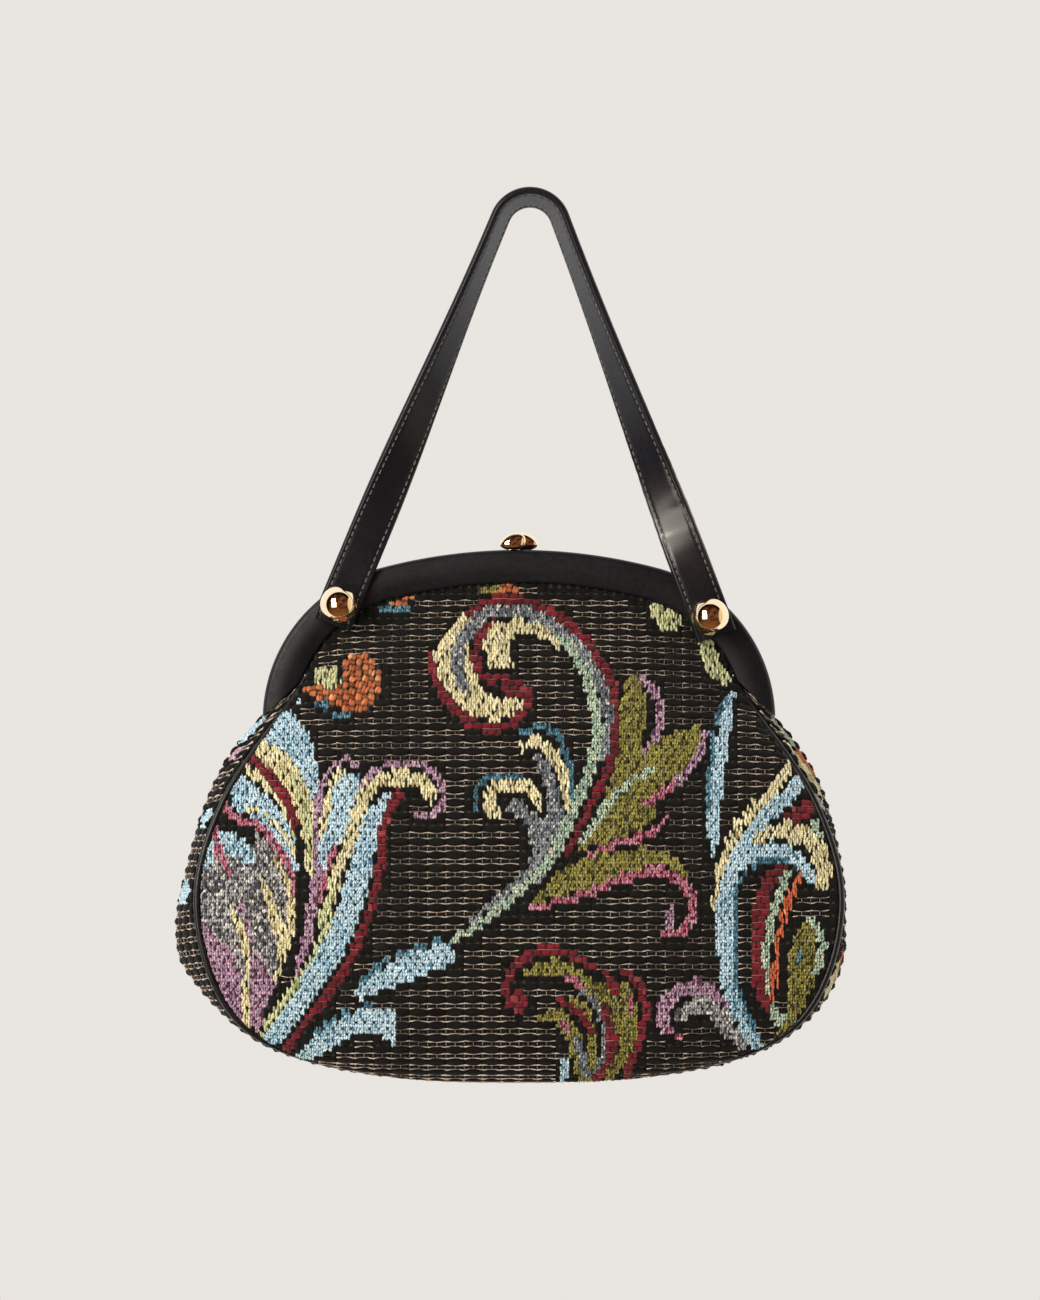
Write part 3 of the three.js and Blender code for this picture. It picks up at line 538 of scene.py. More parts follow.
def add_node(
    tree: bpy.types.NodeTree, kind: str, inputs: Optional[Inputs] = None, **settings: Any,
) -> bpy.types.Node:
    """Adds a node with its settings and links.

    Args:
        tree: The material's or world's node tree.
        kind: The node's type without its first words, such as Bump for ShaderNodeBump.
        inputs: Its sockets, as set_inputs takes them.
        settings: Values of the node's own properties.

    Returns:
        The new node.
    """
    node = tree.nodes.new("ShaderNode" + kind)
    for key, value in settings.items():
        setattr(node, key, value)
    set_inputs(tree, node, inputs or {})
    return node


def opaque(code: str) -> tuple[float, float, float, float]:
    """Gives a hex colour as linear values with full alpha."""
    return (*linear(code), 1.0)


def new_material(name: str) -> tuple[bpy.types.Material, bpy.types.NodeTree, bpy.types.Node]:
    """Makes an empty material with a Principled shader on its output.

    Args:
        name: The material's name.

    Returns:
        The material, its node tree and the shader node.
    """
    material = bpy.data.materials.new(name)
    material.use_nodes = True
    tree = material.node_tree
    tree.nodes.clear()
    shader = add_node(tree, "BsdfPrincipled")
    add_node(tree, "OutputMaterial", {"Surface": shader})
    return material, tree, shader


@dataclass(frozen=True)
class Leather:
    """Smooth dyed cow leather with a finished surface: nearly black, a soft sheen, a fine pebbled grain."""

    name: str
    hide: str
    worn: str
    roughness: float
    specular: float
    grain_mm: float = 0.9
    grain_depth_mm: float = 0.05
    pore_scale: float = 0.4  # of the pores, as a share of the grain's
    patch_mm: float = 26.0
    dent_mm: float = 0.4
    rubbed_at: Optional[Triple] = None  # a spot of wax rubbed to a shine, in millimetres
    rubbed_mm: Pair = (9.0, 34.0)  # its shine fades out between these distances
    wax_ior: float = 1.7
    wax_roughness: float = 0.25

    def make(self) -> bpy.types.Material:
        """Builds the material.

        Returns:
            The new material.
        """
        material, tree, shader = new_material(self.name)
        where = add_node(tree, "TexCoord").outputs["Object"]
        grain = add_node(
            tree, "TexVoronoi", {"Vector": where, "Scale": 1 / (self.grain_mm * MM), "Smoothness": 0.6},
            feature="SMOOTH_F1",
        )
        fine, coarse = self.pore_scale / (self.grain_mm * MM), 1 / (self.patch_mm * MM)
        pores = add_node(tree, "TexNoise", {"Vector": where, "Scale": fine, "Detail": 3.0})
        patches = add_node(tree, "TexNoise", {"Vector": where, "Scale": coarse, "Detail": 4.0})
        # Uneven dye, a little lighter in patches.
        shift = add_node(tree, "MapRange", {"Value": patches, "From Min": 0.35, "From Max": 0.7})
        dyes = {MIX_SHARE: shift, MIX_A: opaque(self.hide), MIX_B: opaque(self.worn)}
        dye = add_node(tree, "Mix", dyes, data_type="RGBA")
        gloss = add_node(tree, "MapRange", {
            "Value": pores, "From Min": 0.3, "From Max": 0.7,
            "To Min": self.roughness - 0.06, "To Max": self.roughness + 0.08,
        })
        depth = self.grain_depth_mm * MM
        pebble = add_node(tree, "Bump", {"Height": grain, "Strength": 0.55, "Distance": depth})
        dented = {"Height": patches, "Strength": 0.4, "Distance": self.dent_mm * MM, "Normal": pebble}
        dents = add_node(tree, "Bump", dented)
        set_inputs(tree, shader, {
            "Base Color": dye, "Roughness": gloss, "Normal": dents, "IOR": 1.5,
            "Specular IOR Level": self.specular,
        })
        if self.rubbed_at:
            spot = [c * MM for c in self.rubbed_at]
            away = add_node(tree, "VectorMath", {0: where, 1: spot}, operation="DISTANCE")
            near, far = self.rubbed_mm
            shine = add_node(tree, "MapRange", {
                "Value": away, "From Min": near * MM, "From Max": far * MM, "To Min": 1.0, "To Max": 0.0,
            })
            set_inputs(tree, shader, {
                "Coat Weight": shine, "Coat IOR": self.wax_ior, "Coat Roughness": self.wax_roughness,
            })
        return material


@dataclass(frozen=True)
class PlatedMetal:
    """Polished, plated metal: a mirror with faint wiping marks."""

    name: str
    bright: str
    deep: str
    roughness: float
    smear_mm: float = 3.0
    mark_mm: float = 0.05

    def make(self) -> bpy.types.Material:
        """Builds the material.

        Returns:
            The new material.
        """
        material, tree, shader = new_material(self.name)
        where = add_node(tree, "TexCoord").outputs["Object"]
        smear = add_node(
            tree, "TexNoise",
            {"Vector": where, "Scale": 1 / (self.smear_mm * MM), "Detail": 5.0, "Roughness": 0.6},
        )
        tints = {MIX_SHARE: smear, MIX_A: opaque(self.bright), MIX_B: opaque(self.deep)}
        tint = add_node(tree, "Mix", tints, data_type="RGBA")
        gloss = add_node(tree, "MapRange", {
            "Value": smear, "From Min": 0.3, "From Max": 0.75,
            "To Min": self.roughness * 0.7, "To Max": self.roughness * 1.5,
        })
        marks = add_node(tree, "Bump", {"Height": smear, "Strength": 0.15, "Distance": self.mark_mm * MM})
        set_inputs(tree, shader, {"Base Color": tint, "Roughness": gloss, "Normal": marks, "Metallic": 1.0})
        return material


@dataclass(frozen=True)
class SpunYarn:
    """Spun yarn: matte and a little hairy, its strands twisted round it, dyed by the stitch's own colour,
    with painted shade in the grooves between the strands.

    The strands are really about 0.3 mm apart; they are drawn coarser so that they show.
    """

    name: str
    strand_mm: float
    depth_mm: float
    sheen: float
    twist: float = 0.45
    streak_mm: float = 6.0
    fuzz_mm: float = 0.3

    def make(self) -> bpy.types.Material:
        """Builds the material. The UV map holds millimetres across and along the yarn.

        Returns:
            The new material.
        """
        material, tree, shader = new_material(self.name)
        dye = add_node(tree, "VertexColor", layer_name=DYE_NAME)
        lay = add_node(tree, "UVMap", uv_map=YARN_MAP)
        turned = add_node(tree, "Mapping", {"Vector": lay, "Rotation": (0.0, 0.0, self.twist)})
        strands = add_node(
            tree, "TexWave",
            {"Vector": turned, "Scale": WAVE_MM / self.strand_mm, "Distortion": 1.6, "Detail": 2.0,
             "Detail Scale": 1.5},
            wave_type="BANDS", bands_direction="X",
        ).outputs["Fac"]
        fuzz = add_node(tree, "TexNoise", {"Vector": lay, "Scale": 2.2, "Detail": 3.0, "Roughness": 0.6})
        drawn = add_node(
            tree, "Mapping", {"Vector": lay, "Scale": (1 / self.strand_mm, 1 / self.streak_mm, 1.0)},
        )
        streaks = add_node(tree, "TexNoise", {"Vector": drawn, "Scale": 1.0})
        # Painted shade: the colour darkens where the strand wave is low, in the grooves of the ply bump; the
        # streaks are each strand's own tone.
        shade = add_node(
            tree, "MapRange", {"Value": strands, "From Max": 0.8, "To Min": 0.74, "To Max": 1.05},
        )
        mottle = add_node(
            tree, "MapRange",
            {"Value": streaks, "From Min": 0.32, "From Max": 0.68, "To Min": 0.6, "To Max": 1.25},
        )
        depth = add_node(tree, "Math", {0: shade, 1: mottle}, operation="MULTIPLY")
        colour = add_node(tree, "VectorMath", {0: dye, "Scale": depth}, operation="SCALE")
        ply = add_node(tree, "Bump", {"Height": strands, "Strength": 0.6, "Distance": self.depth_mm * MM})
        hair = add_node(
            tree, "Bump", {"Height": fuzz, "Strength": 0.35, "Distance": self.fuzz_mm * MM, "Normal": ply},
        )
        set_inputs(tree, shader, {
            "Base Color": colour, "Normal": hair, "Roughness": 0.88, "Specular IOR Level": 0.18,
            "Sheen Weight": self.sheen, "Sheen Roughness": 0.45,
        })
        return material


@dataclass(frozen=True)
class GroundCloth:
    """Plain woven ground of the tapestry: dark weft with a grey-green warp thread at each block's border."""

    name: str
    weft: str
    warp: str
    warp_mm: float
    weft_mm: float
    relief_mm: float = 0.25

    def make(self) -> bpy.types.Material:
        """Builds the material. The UV map holds millimetres along the rows and down the columns.

        Returns:
            The new material.
        """
        material, tree, shader = new_material(self.name)
        lay = add_node(tree, "UVMap", uv_map=YARN_MAP)
        upright, level = (
            add_node(
                tree, "TexWave",
                {"Vector": lay, "Scale": WAVE_MM / apart, "Distortion": bend, "Detail": 1.0},
                wave_type="BANDS", bands_direction=way,
            ).outputs["Fac"]
            for way, apart, bend in (("X", self.warp_mm, 0.6), ("Y", self.weft_mm, 0.8))
        )
        over = add_node(tree, "MapRange", {"Value": upright, "From Min": 0.6, "From Max": 0.95})
        dyes = {MIX_SHARE: over, MIX_A: opaque(self.weft), MIX_B: opaque(self.warp)}
        dye = add_node(tree, "Mix", dyes, data_type="RGBA")
        height = add_node(tree, "Math", {0: upright, 1: level}, operation="MAXIMUM")
        relief = add_node(tree, "Bump", {"Height": height, "Strength": 0.8, "Distance": self.relief_mm * MM})
        set_inputs(tree, shader, {
            "Base Color": dye, "Normal": relief, "Roughness": 0.92, "Specular IOR Level": 0.15,
        })
        return material


FRAME_LEATHER = Leather("frame_calf_leather", "#0a0b11", "#11121a", 0.44, 0.32)
STRAP_LEATHER = Leather(
    "strap_bridle_leather", "#141419", "#1b1b20", 0.28, 0.2, grain_mm=0.8, rubbed_at=(68.0, -12.0, -150.0),
)
PIPING_LEATHER = Leather("piping_calf_leather", "#0c0c0e", "#151516", 0.36, 0.45, grain_mm=0.7)
PALE_GOLD = PlatedMetal("pale_gold_plate", "#f9e6c9", "#efcfa4", 0.07)
PIN_STEEL = PlatedMetal("plain_steel_pin", "#9b9b9e", "#77777a", 0.35)
FIGURE_YARN = SpunYarn("figure_wool_yarn", 0.62, 0.16, 0.12)
GROUND_YARN = SpunYarn("ground_cotton_yarn", 0.8, 0.14, 0.05, twist=1.35)
BINDING_THREAD = SpunYarn("binding_cotton_thread", 0.4, 0.06, 0.08)
WAXED_THREAD = SpunYarn("waxed_sewing_thread", 0.4, 0.06, 0.0)
TAPESTRY_GROUND = GroundCloth("tapestry_ground_cloth", "#191512", "#33352e", 4.1, 0.9)


def deselect() -> None:
    """Leaves edit mode and deselects everything."""
    if bpy.context.object and bpy.context.object.mode != "OBJECT":
        bpy.ops.object.mode_set(mode="OBJECT")
    bpy.ops.object.select_all(action="DESELECT")


def pick_alone(piece: Piece) -> None:
    """Makes a piece the only selected and active object.

    Args:
        piece: The object.
    """
    deselect()
    piece.select_set(True)
    bpy.context.view_layer.objects.active = piece


def edit_all() -> None:
    """Enters edit mode with everything selected."""
    bpy.ops.object.mode_set(mode="EDIT")
    bpy.ops.mesh.select_all(action="SELECT")


def close_mesh() -> None:
    """Merges the doubles of the mesh in edit mode, turns its faces outwards and leaves edit mode."""
    bpy.ops.mesh.select_all(action="SELECT")
    bpy.ops.mesh.remove_doubles(threshold=MERGE)
    bpy.ops.mesh.normals_make_consistent(inside=False)
    bpy.ops.object.mode_set(mode="OBJECT")


def select_faces(piece: Piece, wanted: Callable[[Any], bool]) -> None:
    """Selects only the faces whose middle passes a test, and stays in edit mode.

    Args:
        piece: The object.
        wanted: Tells from a face's middle whether it is wanted.
    """
    bpy.ops.mesh.select_mode(type="FACE")
    bpy.ops.mesh.select_all(action="DESELECT")
    bpy.ops.object.mode_set(mode="OBJECT")
    for face in piece.data.polygons:
        face.select = wanted(face.center)
    bpy.ops.object.mode_set(mode="EDIT")


def name_new(name: str) -> Piece:
    """Names the primitive just added, and its mesh.

    Args:
        name: The piece's name.

    Returns:
        The object.
    """
    piece = bpy.context.object
    piece.name = name
    piece.data.name = name
    return piece


def apply_modifier(piece: Piece, kind: str, **settings: Any) -> None:
    """Adds a modifier and applies it.

    Args:
        piece: The object.
        kind: The modifier's type, such as SOLIDIFY.
        settings: Values of its properties.
    """
    pick_alone(piece)
    modifier = piece.modifiers.new(kind.title(), kind)
    for key, value in settings.items():
        setattr(modifier, key, value)
    bpy.ops.object.modifier_apply(modifier=modifier.name)


def smooth(piece: Piece, degrees: float) -> None:
    """Shades a piece smooth, apart from edges sharper than the angle."""
    pick_alone(piece)
    bpy.ops.object.shade_smooth_by_angle(angle=math.radians(degrees))


def finish_piece(
    piece: Piece, material: bpy.types.Material, replaced: Sequence[str] = (),
) -> Piece:
    """Dresses a piece and ties it to the frame.

    Args:
        piece: The finished object.
        material: Its material.
        replaced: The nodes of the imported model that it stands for.

    Returns:
        The same piece.
    """
    piece.data.materials.clear()
    piece.data.materials.append(material)
    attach(piece, BODY)
    if replaced:
        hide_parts(*replaced)
    LOG.info("%s: %d vertices", piece.name, len(piece.data.vertices))
    return piece


def set_uv(piece: Piece, per_vertex: Points) -> None:
    """Stores millimetres of yarn as a UV map.

    Args:
        piece: The object.
        per_vertex: Two numbers for each vertex.
    """
    mesh = piece.data
    while mesh.uv_layers:
        mesh.uv_layers.remove(mesh.uv_layers[0])
    layer = mesh.uv_layers.new(name=YARN_MAP)
    corner = np.empty(len(mesh.loops), dtype=np.int32)
    mesh.loops.foreach_get("vertex_index", corner)
    layer.data.foreach_set("uv", np.ascontiguousarray(per_vertex[corner], dtype=np.float32).ravel())


def grid_piece(name: str, points: Points, lay: Optional[Points] = None) -> Piece:
    """Adds a grid and moves its vertices onto a surface.

    Args:
        name: The piece's name.
        points: Rows of points in millimetres, from the top down, each from left to right seen from outside.
        lay: Millimetres of yarn at each point, for the UV map.

    Returns:
        The new object, an open sheet that faces outwards.
    """
    rows, columns = points.shape[:2]
    deselect()
    bpy.ops.mesh.primitive_grid_add(x_subdivisions=columns - 1, y_subdivisions=rows - 1, size=2)
    piece = name_new(name)
    mesh = piece.data
    place = np.empty(len(mesh.vertices) * 3, dtype=np.float32)
    mesh.vertices.foreach_get("co", place)
    place = place.reshape(-1, 3)
    column = np.rint((place[:, 0] + 1) / 2 * (columns - 1)).astype(int)
    row = np.rint((1 - place[:, 1]) / 2 * (rows - 1)).astype(int)
    mesh.vertices.foreach_set("co", (points[row, column] * MM).astype(np.float32).ravel())
    mesh.update()
    if lay is not None:
        set_uv(piece, lay[row, column])
    return piece


def rolled_piece(name: str, rings: Points) -> Piece:
    """Rolls a grid into a closed bar through rings of points.

    Args:
        name: The piece's name.
        rings: Rings of points in millimetres along the bar.

    Returns:
        The new closed object.
    """
    piece = grid_piece(name, np.concatenate([rings, rings[:, :1]], axis=1))
    pick_alone(piece)
    edit_all()
    bpy.ops.mesh.remove_doubles(threshold=MERGE)
    bpy.ops.mesh.select_all(action="DESELECT")
    bpy.ops.mesh.select_mode(type="EDGE")
    bpy.ops.mesh.select_non_manifold()
    bpy.ops.mesh.fill_holes(sides=0)
    bpy.ops.mesh.select_mode(type="VERT")
    close_mesh()
    return piece


def ring_faces(rings: int, sides: int) -> Faces:
    """Gives the faces of a closed bar.

    Args:
        rings: Number of rings of points along it.
        sides: Number of points in a ring.

    Returns:
        The faces between the rings, then the first and the last end.
    """
    faces: Faces = []
    for start in range(0, (rings - 1) * sides, sides):
        for j in range(sides):
            k = (j + 1) % sides
            faces.append((start + j, start + k, start + sides + k, start + sides + j))
    last = (rings - 1) * sides
    return [*faces, tuple(range(sides))[::-1], tuple(range(last, last + sides))]


@dataclass(frozen=True)
class Arch:
    """The frame's arch: a crown arc with a shoulder arc on each side, as in the part's source."""

    top: float = -158.6
    crown_radius: float = 245.0
    shoulder_radius: float = 71.5
    crown_angle: float = math.radians(15)
    end_angle: float = math.radians(87)
    end_slant: float = math.radians(21)
    face: float = 15.0

    @property
    def crown_centre(self) -> Pair:
        """Middle of the crown arc, as x and z."""
        return 0.0, self.top - self.crown_radius

    @property
    def shoulder_centre(self) -> Pair:
        """Middle of the right shoulder arc, as x and z."""
        step = self.crown_radius - self.shoulder_radius
        x, z = self.crown_centre
        return x + step * math.sin(self.crown_angle), z + step * math.cos(self.crown_angle)

    def point(self, angle: float, inset: float) -> Pair:
        """Finds a point on the right half.

        Args:
            angle: From the vertical.
            inset: Distance in from the outer edge.

        Returns:
            Its x and z.
        """
        crown = angle <= self.crown_angle
        centre = self.crown_centre if crown else self.shoulder_centre
        radius = (self.crown_radius if crown else self.shoulder_radius) - inset
        return centre[0] + radius * math.sin(angle), centre[1] + radius * math.cos(angle)

    def lip_drop(self, share: Points) -> Points:
        """Finds how far the lip has dropped.

        Args:
            share: Shares of its half width.

        Returns:
            From 0 at the crown to 1 at its end.
        """
        end = self.point(self.end_angle - self.end_slant, self.face)
        x = np.clip(np.abs(share), 0, 1) * end[0]
        on_crown = x <= self.point(self.crown_angle, self.face)[0]
        centre_x = np.where(on_crown, self.crown_centre[0], self.shoulder_centre[0])
        centre_z = np.where(on_crown, self.crown_centre[1], self.shoulder_centre[1])
        radius = np.where(on_crown, self.crown_radius, self.shoulder_radius) - self.face
        z = centre_z + np.sqrt(radius**2 - (x - centre_x) ** 2)
        crown_z = self.top - self.face
        return (crown_z - z) / (crown_z - end[1])


@dataclass(frozen=True)
class BodyForm:
    """The bag's soft form: the middle surfaces of its cloth walls."""

    arch: Arch = Arch()
    gusset_start: float = 1.3

    def value(self, column: str, level: Points) -> Points:
        """Reads a column of the body's table, on a smooth curve through its rows.

        Args:
            column: The column's name.
            level: Rows of the table, whole or in between.

        Returns:
            A value for each level.
        """
        table = np.array(BODY_ROWS)[:, BODY_COLUMNS.index(column)]
        around = padded(table)
        i = np.clip(np.floor(level).astype(int), 0, len(table) - 2)
        return between(*(around[i + k] for k in range(4)), level - i)

    def panel(self, face: Face, level: Points, across: Points) -> Points:
        """Finds points on a panel.

        Args:
            face: The front or the back.
            level: Rows of the body's table.
            across: From -1 to 1 between the seams, towards +X.

        Returns:
            Points in millimetres.
        """
        level, across = np.broadcast_arrays(np.asarray(level, float), np.asarray(across, float))
        side = np.abs(across)
        arch = self.value("arch", level)
        drop = arch * self.arch.lip_drop(side) + (1 - arch) * side**SMILE_POWER
        middle_z = self.value("middle_z", level)
        z = middle_z + (self.value("seam_z", level) - middle_z) * drop
        seam_depth = self.value("seam_depth", level)
        depth = seam_depth + (self.value("middle_depth", level) - seam_depth) * (1 - side**CROWN_POWER)
        y = -depth if face is Face.FRONT else SLOT_DEPTH_LINE + (depth - SLOT_DEPTH_LINE) * BACK_FLATNESS
        return np.stack([across * self.value("seam_x", level) - HANG_SHIFT, y, z], axis=-1)

    def seam_stop(self, q: Points) -> tuple[Points, Points]:
        """Finds the level and the across of stops along the seam.

        Args:
            q: From 0 to 1 down the left side, to 2 along the bottom, to 3 up the right side.

        Returns:
            Levels, and across from -1 to 1.
        """
        q = np.asarray(q, float)
        reach = LAST_LEVEL - self.gusset_start
        level = np.select(
            [q < 1, q < 2], [self.gusset_start + reach * q, float(LAST_LEVEL)], LAST_LEVEL - reach * (q - 2),
        )
        across = np.select([q < 1, q < 2], [-1.0, 2 * (q - 1) - 1], 1.0)
        return level, across

    def gusset(self, q: Points, v: Points) -> Points:
        """Finds points on the gusset.

        Args:
            q: Along the seam, as in seam_stop.
            v: From 0 at the front to 1 at the back.

        Returns:
            Points in millimetres.
        """
        q, v = np.broadcast_arrays(np.asarray(q, float), np.asarray(v, float))
        level, across = self.seam_stop(q)
        front, back = self.panel(Face.FRONT, level, across), self.panel(Face.BACK, level, across)
        half = np.where(across < 0, self.value("ridge_left", level), self.value("ridge_right", level))
        corner_z = self.value("ridge_z", level)
        ridge_z = BOTTOM_RIDGE_Z + (corner_z - BOTTOM_RIDGE_Z) * np.abs(across) ** SMILE_POWER
        ridge = np.stack([across * half - HANG_SHIFT, np.zeros_like(half), ridge_z], axis=-1)
        swell = ridge - (front + back) / 2
        swell[..., 1] = 0
        v = v[..., None]
        return front * (1 - v) + back * v + swell * np.sin(np.pi * v)


def lookup(table: Points, first: Pair, step: Pair, a: Points, b: Points) -> Points:
    """Reads a table of values between its entries.

    Args:
        table: Values at even steps of two coordinates.
        first: The coordinates of its first entry.
        step: The steps.
        a: First coordinates wanted.
        b: Second coordinates wanted.

    Returns:
        The values, in a straight line between the four nearest entries.
    """
    i = np.clip((a - first[0]) / step[0], 0, table.shape[0] - 1 - TINY)
    j = np.clip((b - first[1]) / step[1], 0, table.shape[1] - 1 - TINY)
    i0, j0 = i.astype(int), j.astype(int)
    u, v = i - i0, j - j0
    low = table[i0, j0] * (1 - v) + table[i0, j0 + 1] * v
    high = table[i0 + 1, j0] * (1 - v) + table[i0 + 1, j0 + 1] * v
    return low * (1 - u) + high * u


class Patch:
    """A woven cloth on the bag. Its coordinates, in millimetres, run along its rows and down its columns."""

    name: str
    a_range: Pair
    b_range: Pair

    def surface(self, a: Points, b: Points) -> Points:
        """Gives points of the wall's middle surface."""
        raise NotImplementedError

    def confine(self, a: Points, b: Points) -> tuple[Points, Points]:
        """Pulls coordinates back inside the cloth's edges."""
        raise NotImplementedError

    def yarns(self, a: Points, b: Points) -> Points:
        """Gives the number of the charted yarn at each place."""
        raise NotImplementedError

    def place(self, a: Points, b: Points, lift: Points) -> Points:
        """Puts points over the cloth.

        Args:
            a: Along the rows.
            b: Down the columns.
            lift: Heights above the middle of the wall.

        Returns:
            Points in millimetres.
        """
        a, b = self.confine(a, b)
        along = self.surface(a + SLOPE_STEP, b) - self.surface(a - SLOPE_STEP, b)
        down = self.surface(a, b + SLOPE_STEP) - self.surface(a, b - SLOPE_STEP)
        return self.surface(a, b) + unit(np.cross(down, along)) * np.asarray(lift)[..., None]


@dataclass
class PanelPatch(Patch):
    """The cloth of the front or back panel, measured from a level line across its widest part."""

    form: BodyForm
    face: Face
    a_range: Pair = (-150.0, 150.0)
    b_range: Pair = (-190.0, 120.0)
    line_z: float = -318.0
    spare: float = 1.12  # the form goes on past the seam by this much, so that edges can be measured
    level_spare: float = 0.05  # and past the lip and the bottom seam
    level_stops: int = 900
    step: float = 2.0
    fine_step: float = 0.5
    level_room: float = 0.004
    shallow_x: float = 88.0  # up to here the cloth ends at the lip and the bottom, past it at the side seams
    lip_room: float = 0.5
    slope_stops: int = 9  # the side seams' slope is taken over so many steps
    slope_most: float = 3.0
    view_distance: float = 4000.0  # the pattern is drawn as seen from here
    view_drop: float = 204.1

    def __post_init__(self) -> None:
        """Measures the cloth."""
        self.name = self.face.name.lower()
        self.levels = self.measure()
        self.find_edges()

    def measure(self) -> Points:
        """Tabulates the level reached at each distance down each column.

        Returns:
            The levels, a row for each column of the cloth.
        """
        columns = np.arange(self.a_range[0], self.a_range[1] + self.step, self.step)
        downs = np.arange(self.b_range[0], self.b_range[1] + self.step, self.step)
        levels = np.linspace(LIP_LEVEL - self.level_spare, LAST_LEVEL + self.level_spare, self.level_stops)
        seam = self.form.value("seam_x", levels)
        table = np.empty((len(columns), len(downs)))
        for k, x in enumerate(columns):
            reached = np.abs(x) <= seam * self.spare
            own = levels[reached]
            points = self.form.panel(self.face, own, x / seam[reached])
            arc = arc_lengths(points)
            arc -= arc[np.argmin(np.abs(points[:, 2] - self.line_z))]
            table[k] = np.interp(downs, arc, own)
        return table

    def level(self, a: Points, b: Points) -> Points:
        """Gives the level of the body's table at a place on the cloth."""
        return lookup(self.levels, (self.a_range[0], self.b_range[0]), (self.step, self.step), a, b)

    def surface(self, a: Points, b: Points) -> Points:
        """Gives points of the wall's middle surface.

        Args:
            a: Along the rows.
            b: Down the columns.

        Returns:
            Points in millimetres.
        """
        level = self.level(a, b)
        across = np.clip(a / self.form.value("seam_x", level), -self.spare, self.spare)
        return self.form.panel(self.face, level, across * -self.face.value)

    def find_edges(self) -> None:
        """Tabulates the cloth's ends down the middle columns and along each row."""
        fine_a = np.arange(0, self.a_range[1], self.fine_step)
        fine_b = np.arange(*self.b_range, self.fine_step)
        level = self.level(fine_a[:, None], fine_b[None, :])
        inside = fine_a[:, None] <= self.form.value("seam_x", level)
        inside &= (level > LIP_LEVEL + self.level_room) & (level < LAST_LEVEL - self.level_room)
        self.edge_a, self.edge_b = fine_a, fine_b
        found = inside.any(1)
        low = np.where(found, fine_b[inside.argmax(1)], 0.0)
        high = np.where(found, fine_b[len(fine_b) - 1 - inside[:, ::-1].argmax(1)], 0.0)
        self.low_b = low + self.lip_room * np.hypot(1, np.gradient(low, fine_a))
        self.high_b = high - SEAM_ROOM * np.hypot(1, np.gradient(high, fine_a))
        far = np.where(inside.any(0), fine_a[len(fine_a) - 1 - inside[::-1].argmax(0)], 0.0)
        even = np.ones(self.slope_stops) / self.slope_stops
        softened = np.convolve(np.pad(far, self.slope_stops // 2, mode="edge"), even, "valid")
        slope = np.gradient(softened, fine_b)
        self.far_a = far - SEAM_ROOM * np.minimum(np.hypot(1, slope), self.slope_most)

    def confine(self, a: Points, b: Points) -> tuple[Points, Points]:
        """Pulls coordinates back inside the lip and the seams.

        Args:
            a: Along the rows.
            b: Down the columns.

        Returns:
            The same coordinates, none outside the cloth.
        """
        out = np.abs(a)
        middle = out <= self.shallow_x
        held = np.clip(b, np.interp(out, self.edge_a, self.low_b), np.interp(out, self.edge_a, self.high_b))
        b = np.where(middle, held, b)
        far = np.interp(b, self.edge_b, self.far_a)
        return np.where(middle, a, np.sign(a) * np.minimum(out, np.maximum(far, self.shallow_x))), b

    def yarns(self, a: Points, b: Points) -> Points:
        """Reads the chart where each place is seen from the front of its face.

        Args:
            a: Along the rows.
            b: Down the columns.

        Returns:
            The number of the yarn at each place.
        """
        points = self.surface(a, b)
        nearer = self.view_distance / (self.view_distance - np.abs(points[..., 1]))
        x = a * nearer
        drop = self.view_drop + (-points[..., 2] - self.view_drop) * nearer
        found = np.zeros(a.shape, dtype=int)
        for shape in CHART:
            found[shape.covers(x, drop)] = YARNS.index(shape.yarn)
        return found


